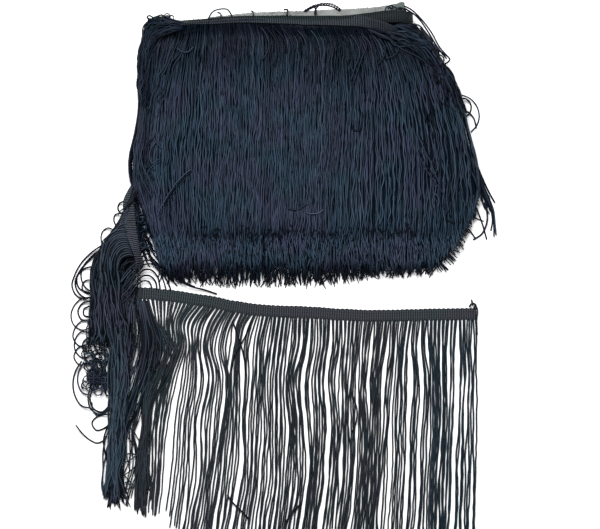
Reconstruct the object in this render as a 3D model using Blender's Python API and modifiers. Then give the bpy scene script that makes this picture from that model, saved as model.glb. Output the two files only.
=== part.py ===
"""A length of long tassel fringe wound flat round a card, with its loose end laid out in front.

The bundle lies on a surface at Z = 0, face up. X runs along the header tape, Y from the ragged
ends of the strands up to the card, and the origin is under the middle of the whole object.
All named sizes are in millimetres; the meshes are in metres.
"""
import math
import random
from collections import namedtuple

import bmesh
import bpy
from mathutils import Vector

MM = 0.001
SEED = 20

# Driving sizes of the trim itself
TAPE_WIDTH = 10.0
TAPE_THICK = 1.3
GAP = 0.4

# Card
CARD_WIDTH = 178.0
CARD_HEIGHT = 90.0
CARD_THICK = 2.0
CARD_TILT = 4.2
CARD_TOP_MIDDLE = (20.0, 237.8)
CARD_MID_Z = 16.5

# Wound header turns
TURNS_LEFT = -98.6
TURNS_RIGHT = 117.0
TURNS_TALL = 33.0
TURNS_TILT = 1.45
TURNS_MIDDLE_Y = 224.4
TURNS_SLOT = (-78.0, 111.6, 4.4)
ROUND_STEPS = 10

# Wound fringe: how wide and how thick the bundle is at each height
BundleRow = namedtuple("BundleRow", "y left right thick")
UPPER_ROWS = (
    BundleRow(205, -130, 135, 32.0),
    BundleRow(192, -131, 142, 31.5),
    BundleRow(173, -133, 155, 31.0),
    BundleRow(151, -132, 162, 30.0),
    BundleRow(123, -136, 169, 29.0),
    BundleRow(101, -141, 175, 28.5),
    BundleRow(78, -139, 178, 27.5),
    BundleRow(58, -130, 175, 26.5),
)
UPPER_END = BundleRow(36, -123, 167, 25.0)
LOWER_ROWS = (
    BundleRow(14, -117, 152, 15.5),
    BundleRow(3, -113, 142, 14.5),
)
LOWER_END = BundleRow(-8, -105, 134, 13.0)
TIER_THICK = 17.0
BUNDLE_COLUMNS = 62
RIDGE_DEPTH = 1.7
SWELL = 1.3
RAGGED = 4.0
TOP_LEFT = -126.0
TOP_RIGHT = 121.5
TOP_CORNER_Y = 228.0
CORNER_COLUMNS = 5

# Locks that hang from the bundle's ragged ends: their reach, width and height at each step
LockStep = namedtuple("LockStep", "along width height")
TIER_LOCK = (LockStep(4.0, 2.8, 3.4), LockStep(10.0, 1.3, 1.6))
END_LOCK = (LockStep(4.0, 2.8, 7.0), LockStep(11.0, 1.3, 3.0))
# Locks at the right-hand rim: the row they leave from, and the points they run through
RIM_LOCKS = (
    (5, ((183.0, 82.0), (190.0, 62.0))),
    (6, ((183.0, 66.0), (188.5, 52.0), (193.0, 36.0))),
    (10, ((163.5, 22.0), (165.5, 14.0))),
    (11, ((153.5, 3.0), (156.0, -5.0))),
    (12, ((140.0, -6.0), (143.0, -13.0))),
)

# Loose end falling down the left side
SideRow = namedtuple("SideRow", "y left right thick")
SIDE_ROWS = (
    SideRow(70, -143, -137.5, 8.0),
    SideRow(64, -147, -135.5, 10.0),
    SideRow(55, -150, -133.5, 11.0),
    SideRow(46, -153, -133.0, 12.0),
    SideRow(37, -159, -133.0, 12.5),
    SideRow(28, -164, -131.5, 13.5),
    SideRow(19, -171, -132.0, 14.0),
    SideRow(9, -174, -133.0, 14.5),
    SideRow(-4, -177, -135.0, 14.5),
    SideRow(-16, -177, -142.0, 14.0),
    SideRow(-32, -177, -142.0, 14.0),
    SideRow(-50, -178, -141.5, 13.5),
    SideRow(-68, -179, -140.5, 12.5),
    SideRow(-86, -179, -142.0, 11.0),
    SideRow(-104, -176, -144.0, 9.0),
    SideRow(-116, -170, -142.0, 7.5),
    SideRow(-127, -161, -142.0, 6.5),
    SideRow(-141, -160, -142.0, 5.5),
    SideRow(-159, -163, -143.5, 5.0),
    SideRow(-177, -162, -145.5, 4.5),
    SideRow(-189, -163, -144.0, 4.0),
)
SIDE_COLUMNS = 14
SIDE_RIDGE = 0.9
BAND_STEP = 1.3
BAND_ROWS = (1, 7)

# Loops at the rim of the side heap: the row they leave from, and the points they bow through
LEFT_LOOPS = (
    (4, ((-165, 34.5), (-169.5, 31), (-169, 26.5))),
    (5, ((-171.5, 23.2), (-175.5, 20.5), (-176.5, 17))),
    (6, ((-177, 12.5), (-184, 8), (-188.5, 2), (-188, -2), (-184, -3.5))),
    (7, ((-178.5, 2.5), (-181.5, 0), (-181, -3.5))),
    (8, ((-182, -9.5), (-188.5, -12), (-192, -18), (-190, -22.5), (-185.5, -21.5))),
    (9, ((-182, -26.5), (-190, -28.5), (-195, -36), (-194, -44), (-188, -47.5))),
    (10, ((-181, -39), (-186, -38), (-188, -41), (-185, -43.5))),
    (11, ((-183, -57.5), (-189.5, -59), (-192.5, -64), (-190, -68.5), (-184.5, -68))),
    (12, ((-184, -75), (-190, -76.5), (-191.5, -81), (-187.5, -84.5))),
    (13, ((-182, -93.5), (-188.5, -94.5), (-191.5, -102), (-190.5, -112), (-185.5, -119.5))),
    (14, ((-177.5, -108.5), (-183, -109), (-184.5, -113), (-180, -115.5))),
    (15, ((-169, -124), (-172, -129), (-169, -133.5))),
    (16, ((-163.5, -136), (-171, -139.5), (-176.5, -137.5), (-176.5, -132.5))),
    (17, ((-166, -152.5), (-174, -156), (-182, -153.5), (-187, -147), (-190.5, -141))),
)
RIGHT_LOOPS = (
    (5, ((-128.5, 24), (-125, 20.5), (-123.5, 16))),
    (6, ((-129, 15), (-123, 11.5), (-119.5, 5.5), (-118.5, 0))),
    (7, ((-130, 4.5), (-125, 2), (-121, -4), (-119, -10.5))),
    (8, ((-134.5, -8.5), (-129, -8.5), (-125.5, -13))),
)
LOOP_THICK = 1.3
TAILS = 6
TailStep = namedtuple("TailStep", "along width")
TAIL_STEPS = (TailStep(7.0, 2.4), TailStep(16.0, 1.9), TailStep(23.0, 1.3))
TAIL_SPREAD = 1.12

# Loose end laid out in front: the tape's middle line
RUN_LINE = (
    (-139.4, -20.8),
    (-122.0, -21.2),
    (-106.0, -22.4),
    (-91.0, -24.5),
    (-71.0, -27.6),
    (-41.0, -33.6),
    (-15.0, -36.4),
    (20.0, -38.0),
    (60.0, -40.5),
    (105.0, -40.5),
    (132.0, -40.2),
    (174.3, -39.5),
)
STRANDS = 120
STRAND_WIDTH = 1.2
STRAND_PITCH_LEAST = 1.55
LEVELS = (-47.0, -68.0, -95.0, -136.0, -186.0, -236.0)
Guide = namedtuple("Guide", "root at_47 at_68 at_95 at_136 at_186 at_236")
GUIDES = (
    Guide(-138, -136, -134, -135, -138, -139, -142),
    Guide(-122, -121, -120, -122, -129, -131, -134),
    Guide(-109, -116, -113, -116, -123, -126, -129),
    Guide(-95, -103, -106, -110, -117, -122, -125),
    Guide(-81, -92, -98, -103, -111, -117, -121),
    Guide(-77, -89, -94, -95, -98, -103, -111),
    Guide(-63, -72, -79, -74, -80, -86, -94),
    Guide(-50, -56, -65, -59, -63, -71, -78),
    Guide(-36, -40, -50, -49, -51, -59, -66),
    Guide(-22, -24, -30, -34, -38, -45, -51),
    Guide(5, 5, 4, 1, -2, -7, -12),
    Guide(32, 32, 31, 30, 28, 24, 20),
    Guide(60, 60, 59, 58, 56, 52, 47),
    Guide(87, 87, 87, 86, 85, 82, 79),
    Guide(114, 114, 114, 114, 113, 111, 108),
    Guide(142, 142, 142, 142, 141, 139, 137),
    Guide(174, 175, 176, 176, 175, 174, 173),
)
RUN_END = -245.0
LEFT_END = -221.0
END_RISE_SPAN = 75.0
STRAIGHT_FROM = -20.0


# ---------------------------------------------------------------- helpers

def clear_scene():
    """Start from an empty scene."""
    for thing in list(bpy.data.objects):
        bpy.data.objects.remove(thing, do_unlink=True)


def new_collection(name):
    """Add a collection to the scene."""
    collection = bpy.data.collections.new(name)
    bpy.context.scene.collection.children.link(collection)
    return collection


def finish_material(name, colour, roughness):
    """A plain Principled finish."""
    material = bpy.data.materials.new(name)
    material.use_nodes = True
    shader = material.node_tree.nodes["Principled BSDF"]
    shader.inputs["Base Color"].default_value = (*colour, 1.0)
    shader.inputs["Roughness"].default_value = roughness
    shader.inputs["Metallic"].default_value = 0.0
    return material


def add_object(name, bm, material, collection):
    """Turn a bmesh given in millimetres into an object in metres."""
    bmesh.ops.scale(bm, vec=(MM, MM, MM), verts=bm.verts)
    mesh = bpy.data.meshes.new(name)
    bm.to_mesh(mesh)
    bm.free()
    mesh.materials.append(material)
    thing = bpy.data.objects.new(name, mesh)
    collection.objects.link(thing)
    return thing


def ease(xs, ys, x):
    """Read a value between neighbouring points of a table, with a smooth change of slope."""
    if x <= xs[0]:
        return ys[0]
    for i in range(len(xs) - 1):
        if x <= xs[i + 1]:
            before = ys[max(i - 1, 0)]
            after = ys[min(i + 2, len(ys) - 1)]
            t = (x - xs[i]) / (xs[i + 1] - xs[i])
            slope_in = (ys[i + 1] - before) / 2
            slope_out = (after - ys[i]) / 2
            bend = (2 * t ** 3 - 3 * t ** 2 + 1) * ys[i] + (t ** 3 - 2 * t ** 2 + t) * slope_in
            return bend + (3 * t ** 2 - 2 * t ** 3) * ys[i + 1] + (t ** 3 - t ** 2) * slope_out
    return ys[-1]


def skin(rings):
    """Join rings of points, each a top row and a matching bottom row, into one closed body.

    Returns the bmesh, its side faces by ring and place, and its two end caps as strips of quads.
    """
    bm = bmesh.new()
    loops = [[bm.verts.new(point) for point in ring] for ring in rings]
    around = len(loops[0])
    half = around // 2
    sides = []
    for near, far in zip(loops, loops[1:]):
        row = []
        for i in range(around):
            j = (i + 1) % around
            row.append(bm.faces.new((near[i], far[i], far[j], near[j])))
        sides.append(row)
    caps = []
    for loop in (loops[0], loops[-1]):
        cap = []
        for i in range(half - 1):
            j = around - 1 - i
            cap.append(bm.faces.new((loop[i], loop[i + 1], loop[j - 1], loop[j])))
        caps.append(cap)
    bmesh.ops.recalc_face_normals(bm, faces=bm.faces)
    return bm, sides, caps


def grow(bm, face, stops):
    """Draw a four-sided strand out of one face.

    Each stop is a centre, a width and a height; the strand stays upright and turns in plan.
    """
    centre = face.calc_center_median()
    heading = Vector((face.normal.x, face.normal.y, 0.0)).normalized()
    for index, (point, width, height) in enumerate(stops):
        across = Vector((-heading.y, heading.x, 0.0))
        face = bmesh.ops.extrude_discrete_faces(bm, faces=[face])["faces"][0]
        by_height = sorted(face.verts, key=lambda corner: corner.co.z)
        corners = []
        for pair, lift in ((by_height[:2], -height / 2), (by_height[2:], height / 2)):
            near, far = sorted(pair, key=lambda corner: corner.co.dot(across))
            corners.append((near, -width / 2, lift))
            corners.append((far, width / 2, lift))
        target = Vector(point)
        if index + 1 < len(stops):
            course = Vector(stops[index + 1][0]) - centre
        else:
            course = target - centre
        heading = Vector((course.x, course.y, 0.0)).normalized()
        across = Vector((-heading.y, heading.x, 0.0))
        for corner, side, lift in corners:
            corner.co = target + across * side + Vector((0.0, 0.0, lift))
        centre = target
    return face


def dome(place, steepness):
    """Height of a flattened roll's top across its width, from 0 at the sides to 1."""
    return (1.0 - abs(2.0 * place - 1.0) ** steepness) ** 0.5


def lumps(place, level):
    """Slow swells along and across the bundle, from -1 to 1."""
    swell = math.sin(9.0 * place + 0.019 * level) + math.sin(21.0 * place - 0.033 * level + 1.3)
    return swell / 2.0


# ---------------------------------------------------------------- card and header turns

def build_card(collection):
    """The stiff board, tilted a little, its lower part inside the bundle."""
    bm = bmesh.new()
    bmesh.ops.create_cube(bm, size=1.0)
    bmesh.ops.scale(bm, vec=(CARD_WIDTH, CARD_HEIGHT, CARD_THICK), verts=bm.verts)
    card = add_object("card_core", bm, finish_material("card_grey", (0.33, 0.34, 0.32), 0.85), collection)
    place_card(card)
    corners = card.modifiers.new("worn_edges", "BEVEL")
    corners.width = 0.5 * MM
    corners.segments = 1
    return card


def place_card(thing):
    """Set a board-shaped object where the card lies."""
    tilt = math.radians(CARD_TILT)
    down = Vector((math.sin(tilt), -math.cos(tilt))) * (CARD_HEIGHT / 2)
    thing.location = (
        (CARD_TOP_MIDDLE[0] + down.x) * MM,
        (CARD_TOP_MIDDLE[1] + down.y) * MM,
        CARD_MID_Z * MM,
    )
    thing.rotation_euler = (0.0, 0.0, tilt)


def stadium(left, right, tall, steps):
    """Points round a flat ring's outline, lying in X and Y, centred on Y = 0."""
    radius = tall / 2
    points = []
    for centre, start in ((right - radius, -90.0), (left + radius, 90.0)):
        for step in range(steps + 1):
            angle = math.radians(start + 180.0 * step / steps)
            points.append((centre + radius * math.cos(angle), radius * math.sin(angle)))
    return points


def build_header_turns(collection):
    """The tape's turns round the card: a flat outline with a slot for the card, set on edge."""
    curve = bpy.data.curves.new("header_turns", "CURVE")
    curve.dimensions = "2D"
    curve.fill_mode = "BOTH"
    curve.extrude = TAPE_WIDTH / 2 * MM
    slot_left, slot_right, slot_tall = TURNS_SLOT
    outlines = (
        stadium(TURNS_LEFT, TURNS_RIGHT, TURNS_TALL, ROUND_STEPS),
        stadium(slot_left, slot_right, slot_tall, 4),
    )
    for outline in outlines:
        spline = curve.splines.new("POLY")
        spline.points.add(len(outline) - 1)
        for point, (x, y) in zip(spline.points, outline):
            point.co = (x * MM, y * MM, 0.0, 1.0)
        spline.use_cyclic_u = True
    curve.materials.append(finish_material("header_tape", (0.045, 0.052, 0.06), 0.9))
    turns = bpy.data.objects.new("header_turns", curve)
    collection.objects.link(turns)
    turns.location = (0.0, TURNS_MIDDLE_Y * MM, TURNS_TALL / 2 * MM)
    turns.rotation_euler = (math.radians(90.0), 0.0, math.radians(TURNS_TILT))
    return turns


# ---------------------------------------------------------------- wound fringe

def header_line(x):
    """Where the fringe leaves the header tape: its lower edge, tilted with the turns."""
    tilt = math.tan(math.radians(TURNS_TILT))
    return TURNS_MIDDLE_Y - TAPE_WIDTH / 2 + x * tilt - GAP


def bundle_ring(row, tops, backs, ridges, depth=RIDGE_DEPTH):
    """One section of the bundle: a ridged, domed top and a flat underside."""
    top = []
    under = []
    for i in range(BUNDLE_COLUMNS + 1):
        place = i / BUNDLE_COLUMNS
        x = row.left + (row.right - row.left) * place
        rise = 0.42 + 0.58 * dome(place, 8)
        groove = ridges[i] * depth + lumps(place, tops[i]) * SWELL
        fade = min(1.0, 4.0 * min(place, 1.0 - place) + 0.2)
        top.append((x, tops[i], row.thick * rise - (RIDGE_DEPTH + SWELL - groove) * fade))
        inset = 3.0 * (1.0 - 2.0 * place)
        under.append((x + inset, backs[i], 0.0))
    return top + under[::-1]


def build_wound_fringe(collection):
    """The bundle of strands wound on the card, with two tiers of ragged ends."""
    draw = random.Random(SEED)
    columns = range(BUNDLE_COLUMNS + 1)
    ridges = [(1.0 if i % 2 else -1.0) * draw.uniform(0.4, 1.0) for i in columns]
    rings = []

    top_row = BundleRow(0.0, TOP_LEFT, TOP_RIGHT, 31.0)
    start = []
    for i in columns:
        x = TOP_LEFT + (TOP_RIGHT - TOP_LEFT) * i / BUNDLE_COLUMNS
        start.append(TOP_CORNER_Y if i <= CORNER_COLUMNS else header_line(x))
    rings.append(bundle_ring(top_row, start, start, ridges))
    for row in UPPER_ROWS:
        level = [row.y] * (BUNDLE_COLUMNS + 1)
        rings.append(bundle_ring(row, level, level, ridges))

    ragged = [draw.uniform(-RAGGED, RAGGED) for i in columns]
    tier_edge = []
    tier_foot = []
    for i in columns:
        rounding = 14.0 * abs(2.0 * i / BUNDLE_COLUMNS - 1.0) ** 5
        tier_edge.append(UPPER_END.y + ragged[i] + rounding)
        tier_foot.append(tier_edge[i] - 1.5)
    rings.append(bundle_ring(UPPER_END, tier_edge, tier_edge, ridges))
    rings.append(bundle_ring(UPPER_END._replace(thick=TIER_THICK), tier_foot, tier_foot, ridges))
    for row in LOWER_ROWS:
        level = [row.y] * (BUNDLE_COLUMNS + 1)
        rings.append(bundle_ring(row, level, level, ridges))
    last = []
    for i in columns:
        rounding = 3.0 * abs(2.0 * i / BUNDLE_COLUMNS - 1.0) ** 4
        last.append(LOWER_END.y + 0.6 * ragged[-i] + rounding)
    rings.append(bundle_ring(LOWER_END, last, last, ridges, 0.7))

    bm, sides, caps = skin(rings)
    tier = 1 + len(UPPER_ROWS)
    for i in range(3, BUNDLE_COLUMNS - 3, 2):
        hang_lock(bm, sides[tier][i], TIER_LOCK, draw, 1.0)
    for i in range(2, BUNDLE_COLUMNS - 4, 2):
        hang_lock(bm, caps[1][i], END_LOCK, draw, 0.0)
    for row, points in RIM_LOCKS:
        face = sides[row][BUNDLE_COLUMNS]
        stops = [(Vector((x, y, 3.0)), 3.4, 5.0) for x, y in points[:-1]]
        stops.append((Vector((*points[-1], 1.0)), 1.2, 2.0))
        grow(bm, face, stops)
    bundle = add_object("wound_fringe", bm, finish_material("wound_yarn", (0.02, 0.03, 0.046), 0.8), collection)
    return bundle


def hang_lock(bm, face, steps, draw, rise):
    """A tapered lock of strand ends hanging from a wall of the bundle."""
    root = face.calc_center_median()
    low = sorted(corner.co.z for corner in face.verts)[1]
    front = min(corner.co.y for corner in face.verts)
    sway = draw.uniform(-2.0, 2.0)
    longer = draw.uniform(0.75, 1.15)
    stops = []
    for step in steps:
        share = step.along / steps[-1].along
        floor = low + rise * (0.8 + share)
        point = Vector((root.x + sway * share, front - step.along * longer, floor + step.height / 2))
        stops.append((point, step.width, step.height))
    grow(bm, face, stops)


def cut_card_pocket(bundle, cutters):
    """Leave the card its own space inside the bundle."""
    bm = bmesh.new()
    bmesh.ops.create_cube(bm, size=1.0)
    size = (CARD_WIDTH + 2 * GAP, CARD_HEIGHT + 2 * GAP, CARD_THICK + 2 * GAP)
    bmesh.ops.scale(bm, vec=size, verts=bm.verts)
    pocket = add_object("card_pocket", bm, finish_material("cutter", (0.8, 0.2, 0.2), 0.5), cutters)
    place_card(pocket)
    pocket.hide_render = True
    pocket.display_type = "WIRE"
    cut = bundle.modifiers.new("card_pocket", "BOOLEAN")
    cut.operation = "DIFFERENCE"
    cut.solver = "EXACT"
    cut.object = pocket


# ---------------------------------------------------------------- side fall

def build_side_fall(collection):
    """The loose end's drop at the left: tape, heap of strands, loops at the rim and tails."""
    draw = random.Random(SEED + 1)
    ridges = [(1.0 if i % 2 else -1.0) * draw.uniform(0.5, 1.0) for i in range(SIDE_COLUMNS + 1)]
    rings = []
    for number, row in enumerate(SIDE_ROWS):
        top = []
        under = []
        for i in range(SIDE_COLUMNS + 1):
            place = i / SIDE_COLUMNS
            x = row.left + (row.right - row.left) * place
            height = row.thick * (0.5 + 0.5 * dome(place, 3)) - SIDE_RIDGE
            height += ridges[i] * SIDE_RIDGE * dome(place, 2) + 0.8 * lumps(2.0 * place, 3.0 * row.y)
            if BAND_ROWS[0] <= number <= BAND_ROWS[1] and x > row.right - TAPE_WIDTH - 2.0:
                height += BAND_STEP
            top.append((x, row.y, max(height, 2.4)))
            under.append((x, row.y, 0.0))
        rings.append(top + under[::-1])
    bm, sides, caps = skin(rings)
    count = SIDE_COLUMNS + 1
    for row, points in LEFT_LOOPS:
        throw_loop(bm, sides[row][2 * count - 1], points)
    for row, points in RIGHT_LOOPS:
        throw_loop(bm, sides[row][count - 1], points)
    middle = (SIDE_ROWS[-1].left + SIDE_ROWS[-1].right) / 2
    for i in range(1, 2 * TAILS, 2):
        face = caps[1][i]
        root = face.calc_center_median()
        longer = draw.uniform(0.75, 1.1)
        stops = []
        for step in TAIL_STEPS:
            x = middle + (root.x - middle) * (1.0 + (TAIL_SPREAD - 1.0) * step.along / 6.0)
            height = step.width
            stops.append((Vector((x, root.y - step.along * longer, height / 2)), step.width * 0.7, height))
        grow(bm, face, stops)
    return add_object("side_fall", bm, finish_material("loose_yarn", (0.024, 0.032, 0.045), 0.8), collection)


def throw_loop(bm, face, points):
    """A strand that leaves the rim low down and bows out over the surface to a free end."""
    root = face.calc_center_median()
    outward = Vector((face.normal.x, face.normal.y)).normalized() * 0.6
    route = [(root.x + outward.x, root.y + outward.y), *points]
    stops = [(Vector((x, y, LOOP_THICK / 2)), LOOP_THICK, LOOP_THICK) for x, y in route]
    grow(bm, face, stops)


# ---------------------------------------------------------------- front run

def run_point(share):
    """A point on the tape's middle line and the direction across it, by share of the length."""
    xs = [point[0] for point in RUN_LINE]
    ys = [point[1] for point in RUN_LINE]
    x = xs[0] + (xs[-1] - xs[0]) * share
    y = ease(xs, ys, x)
    slope = ease(xs, ys, x + 0.5) - ease(xs, ys, x - 0.5)
    across = Vector((slope, -1.0)).normalized()
    return Vector((x, y)), across


def guided(root, level):
    """Where a strand that starts at root has drifted to at one of the levels down its length."""
    roots = [guide.root for guide in GUIDES]
    drifts = [guide[1 + level] - guide.root for guide in GUIDES]
    return root + ease(roots, drifts, root)


def spread(places):
    """Keep neighbouring strands at least the least pitch apart, without moving the row's middle."""
    apart = list(places)
    for i in range(1, len(apart)):
        apart[i] = max(apart[i], apart[i - 1] + STRAND_PITCH_LEAST)
    shift = (sum(places) - sum(apart)) / len(apart)
    return [place + min(shift, 0.0) for place in apart]


def build_front_run(collection):
    """The tape with its row of strands, each drawn out of the tape's lower edge."""
    draw = random.Random(SEED + 2)
    columns = 2 * STRANDS - 1
    total = RUN_LINE[-1][0] - RUN_LINE[0][0]
    pitch = total / STRANDS
    gap_share = (pitch - STRAND_WIDTH) / pitch
    rings = []
    for i in range(columns + 1):
        step = i // 2 + (1.0 - gap_share) * (i % 2)
        middle, across = run_point(step * pitch / total)
        scallop = 0.35 if i % 2 else 0.0
        upper = middle - across * (TAPE_WIDTH / 2 - scallop)
        lower = middle + across * (TAPE_WIDTH / 2)
        rings.append((
            (*upper, TAPE_THICK),
            (*lower, TAPE_THICK),
            (*lower, 0.0),
            (*upper, 0.0),
        ))
    bm, sides, caps = skin(rings)

    faces = [sides[2 * k][1] for k in range(STRANDS)]
    roots = [face.calc_center_median() for face in faces]
    pulls = []
    while len(pulls) < STRANDS:
        size = draw.choice((2, 3, 3, 4, 5))
        for member in range(size):
            pulls.append(((size - 1) / 2 - member) * draw.uniform(0.5, 0.8))
    rows = []
    for level in range(len(LEVELS)):
        strength = min(1.0, 0.35 + 0.2 * level)
        row = [guided(root.x, level) + pulls[k] * strength for k, root in enumerate(roots)]
        rows.append(spread(row))

    for k, root in enumerate(roots):
        straight = root.x > STRAIGHT_FROM
        end = RUN_END + draw.uniform(-4.0, 4.0)
        early = max(0.0, 1.0 - (root.x - RUN_LINE[0][0]) / END_RISE_SPAN)
        end += (LEFT_END - RUN_END) * early
        stops = []
        for level, y in enumerate(LEVELS):
            if straight and level in (1, 3):
                continue
            if y > end + 8.0:
                stops.append((Vector((rows[level][k], y, STRAND_WIDTH / 2)), STRAND_WIDTH, STRAND_WIDTH))
        last = rows[-1][k] + (rows[-1][k] - rows[-2][k]) * (LEVELS[-1] - end) / 50.0
        stops.append((Vector((last, end, STRAND_WIDTH / 2)), STRAND_WIDTH * 0.85, STRAND_WIDTH))
        grow(bm, faces[k], stops)
    return add_object("front_run", bm, finish_material("laid_yarn", (0.036, 0.042, 0.05), 0.8), collection)


def main():
    """Build the whole object."""
    clear_scene()
    collection = new_collection("wound_fringe_trim")
    cutters = new_collection("cutters")
    build_card(collection)
    build_header_turns(collection)
    bundle = build_wound_fringe(collection)
    cut_card_pocket(bundle, cutters)
    build_side_fall(collection)
    build_front_run(collection)


main()
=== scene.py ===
# %% [markdown]
# # Tassel fringe trim, wound on a card
#
# Chainette fringe is a narrow knitted header tape with a row of long yarns hanging from it. Here many turns
# of it are wound flat round a stiff card, and the loose end falls down the left side and is laid out along
# the front. The model already has simple solids with the true sizes. This lesson dresses them: it lays every
# visible yarn by listed guides, ribs the tape and mixes the finishes.

# %% Load the frame
import math

import bpy
import numpy as np
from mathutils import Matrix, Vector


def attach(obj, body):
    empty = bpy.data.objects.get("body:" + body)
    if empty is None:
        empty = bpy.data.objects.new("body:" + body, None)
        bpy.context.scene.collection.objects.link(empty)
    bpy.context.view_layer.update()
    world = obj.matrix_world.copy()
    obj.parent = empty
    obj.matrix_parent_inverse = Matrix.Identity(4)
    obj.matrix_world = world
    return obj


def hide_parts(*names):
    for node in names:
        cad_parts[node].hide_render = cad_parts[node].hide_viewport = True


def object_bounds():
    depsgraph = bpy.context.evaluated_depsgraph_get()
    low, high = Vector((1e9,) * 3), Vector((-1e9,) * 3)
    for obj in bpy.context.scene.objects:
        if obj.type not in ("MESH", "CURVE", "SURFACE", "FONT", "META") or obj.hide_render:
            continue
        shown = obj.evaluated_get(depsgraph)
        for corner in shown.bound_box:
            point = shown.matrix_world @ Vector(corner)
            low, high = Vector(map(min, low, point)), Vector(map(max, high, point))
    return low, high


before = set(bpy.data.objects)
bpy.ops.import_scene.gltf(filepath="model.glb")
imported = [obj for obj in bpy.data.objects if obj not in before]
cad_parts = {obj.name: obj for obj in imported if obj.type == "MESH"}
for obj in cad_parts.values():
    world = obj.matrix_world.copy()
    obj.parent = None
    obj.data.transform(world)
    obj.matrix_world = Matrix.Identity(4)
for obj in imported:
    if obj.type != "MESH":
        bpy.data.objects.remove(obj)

MM = 0.001
solid_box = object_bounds()
size_mm = [round((high - low) / MM) for low, high in zip(*solid_box)]
print("nodes:", sorted(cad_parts), "size in mm:", size_mm)

# %% [markdown]
# ## Camera, floor and light
#
# The trim lies on a white table and is seen from straight above. A camera could hang low with a wide
# lens, but then the thick bundle would look larger than the flat run, so a long lens from four metres
# up is used. A very large soft light stands above and behind, and a pale world fills the shadows.

# %% Camera
CAMERA_MIDDLE = (14.1, 5.5)
VIEW_WIDTH = 546.0
CAMERA_HEIGHT = 4000.0
SENSOR = 36.0
CLIP_END = 20.0

camera_data = bpy.data.cameras.new("overhead")
camera_data.sensor_width = SENSOR
camera_data.lens = SENSOR * CAMERA_HEIGHT / VIEW_WIDTH
camera_data.clip_end = CLIP_END
camera = bpy.data.objects.new("overhead", camera_data)
bpy.context.scene.collection.objects.link(camera)
camera.location = (CAMERA_MIDDLE[0] * MM, CAMERA_MIDDLE[1] * MM, CAMERA_HEIGHT * MM)
bpy.context.scene.camera = camera
print("lens", round(camera_data.lens), "mm")

# %% Light
WORLD_STRENGTH = 0.4


def soft_light(name, place, size, power):
    """A square area light that faces the middle of the floor."""
    light = bpy.data.lights.new(name, "AREA")
    light.shape = "SQUARE"
    light.size = size
    light.energy = power
    lamp = bpy.data.objects.new(name, light)
    bpy.context.scene.collection.objects.link(lamp)
    lamp.location = place
    away = lamp.location.normalized()
    lamp.rotation_euler = away.to_track_quat("Z", "Y").to_euler()
    return lamp


soft_light("sky_panel", (-0.25, 1.05, 2.1), size=1.2, power=93.0)
soft_light("front_fill", (0.9, -1.2, 1.8), size=1.8, power=6.0)
world = bpy.data.worlds.new("studio")
world.use_nodes = True
world.node_tree.nodes["Background"].inputs["Color"].default_value = (1.0, 1.0, 1.0, 1.0)
world.node_tree.nodes["Background"].inputs["Strength"].default_value = WORLD_STRENGTH
bpy.context.scene.world = world
bpy.context.scene.view_settings.view_transform = "Standard"

# %% [markdown]
# ## Writing shader maths
#
# A knitted yarn's pattern is a short formula. Placing a Math node for each sign of a formula is slow
# and hard to read, so a small class wraps a socket, and Python's own operators add the nodes.

# %% Finish helper
class Value:
    """A number that changes over a surface; its operators add Math nodes."""

    def __init__(self, finish, socket):
        self.finish = finish
        self.socket = socket

    def math(self, operation, *others):
        inputs = {0: self}
        for place, other in enumerate(others, 1):
            inputs[place] = other
        return self.finish.node("Math", {"operation": operation}, inputs)

    def __add__(self, other):
        return self.math("ADD", other)

    __radd__ = __add__

    def __mul__(self, other):
        return self.math("MULTIPLY", other)

    __rmul__ = __mul__

    def __sub__(self, other):
        return self.math("SUBTRACT", other)

    def __rsub__(self, other):
        return self * -1.0 + other

    def __truediv__(self, other):
        return self.math("DIVIDE", other)

    def __pow__(self, other):
        return self.math("POWER", other)

    def wave(self):
        """A smooth wave from 0 to 1, once for each whole number."""
        return (self * math.tau).math("SINE") * 0.5 + 0.5

    def size(self):
        """The number without its sign."""
        return self.math("ABSOLUTE")

    def part(self):
        """What is left over after the whole number."""
        return self.math("FRACT")

    def held(self):
        """Kept between 0 and 1."""
        return self.finish.node("Clamp", {}, {"Value": self})


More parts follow.
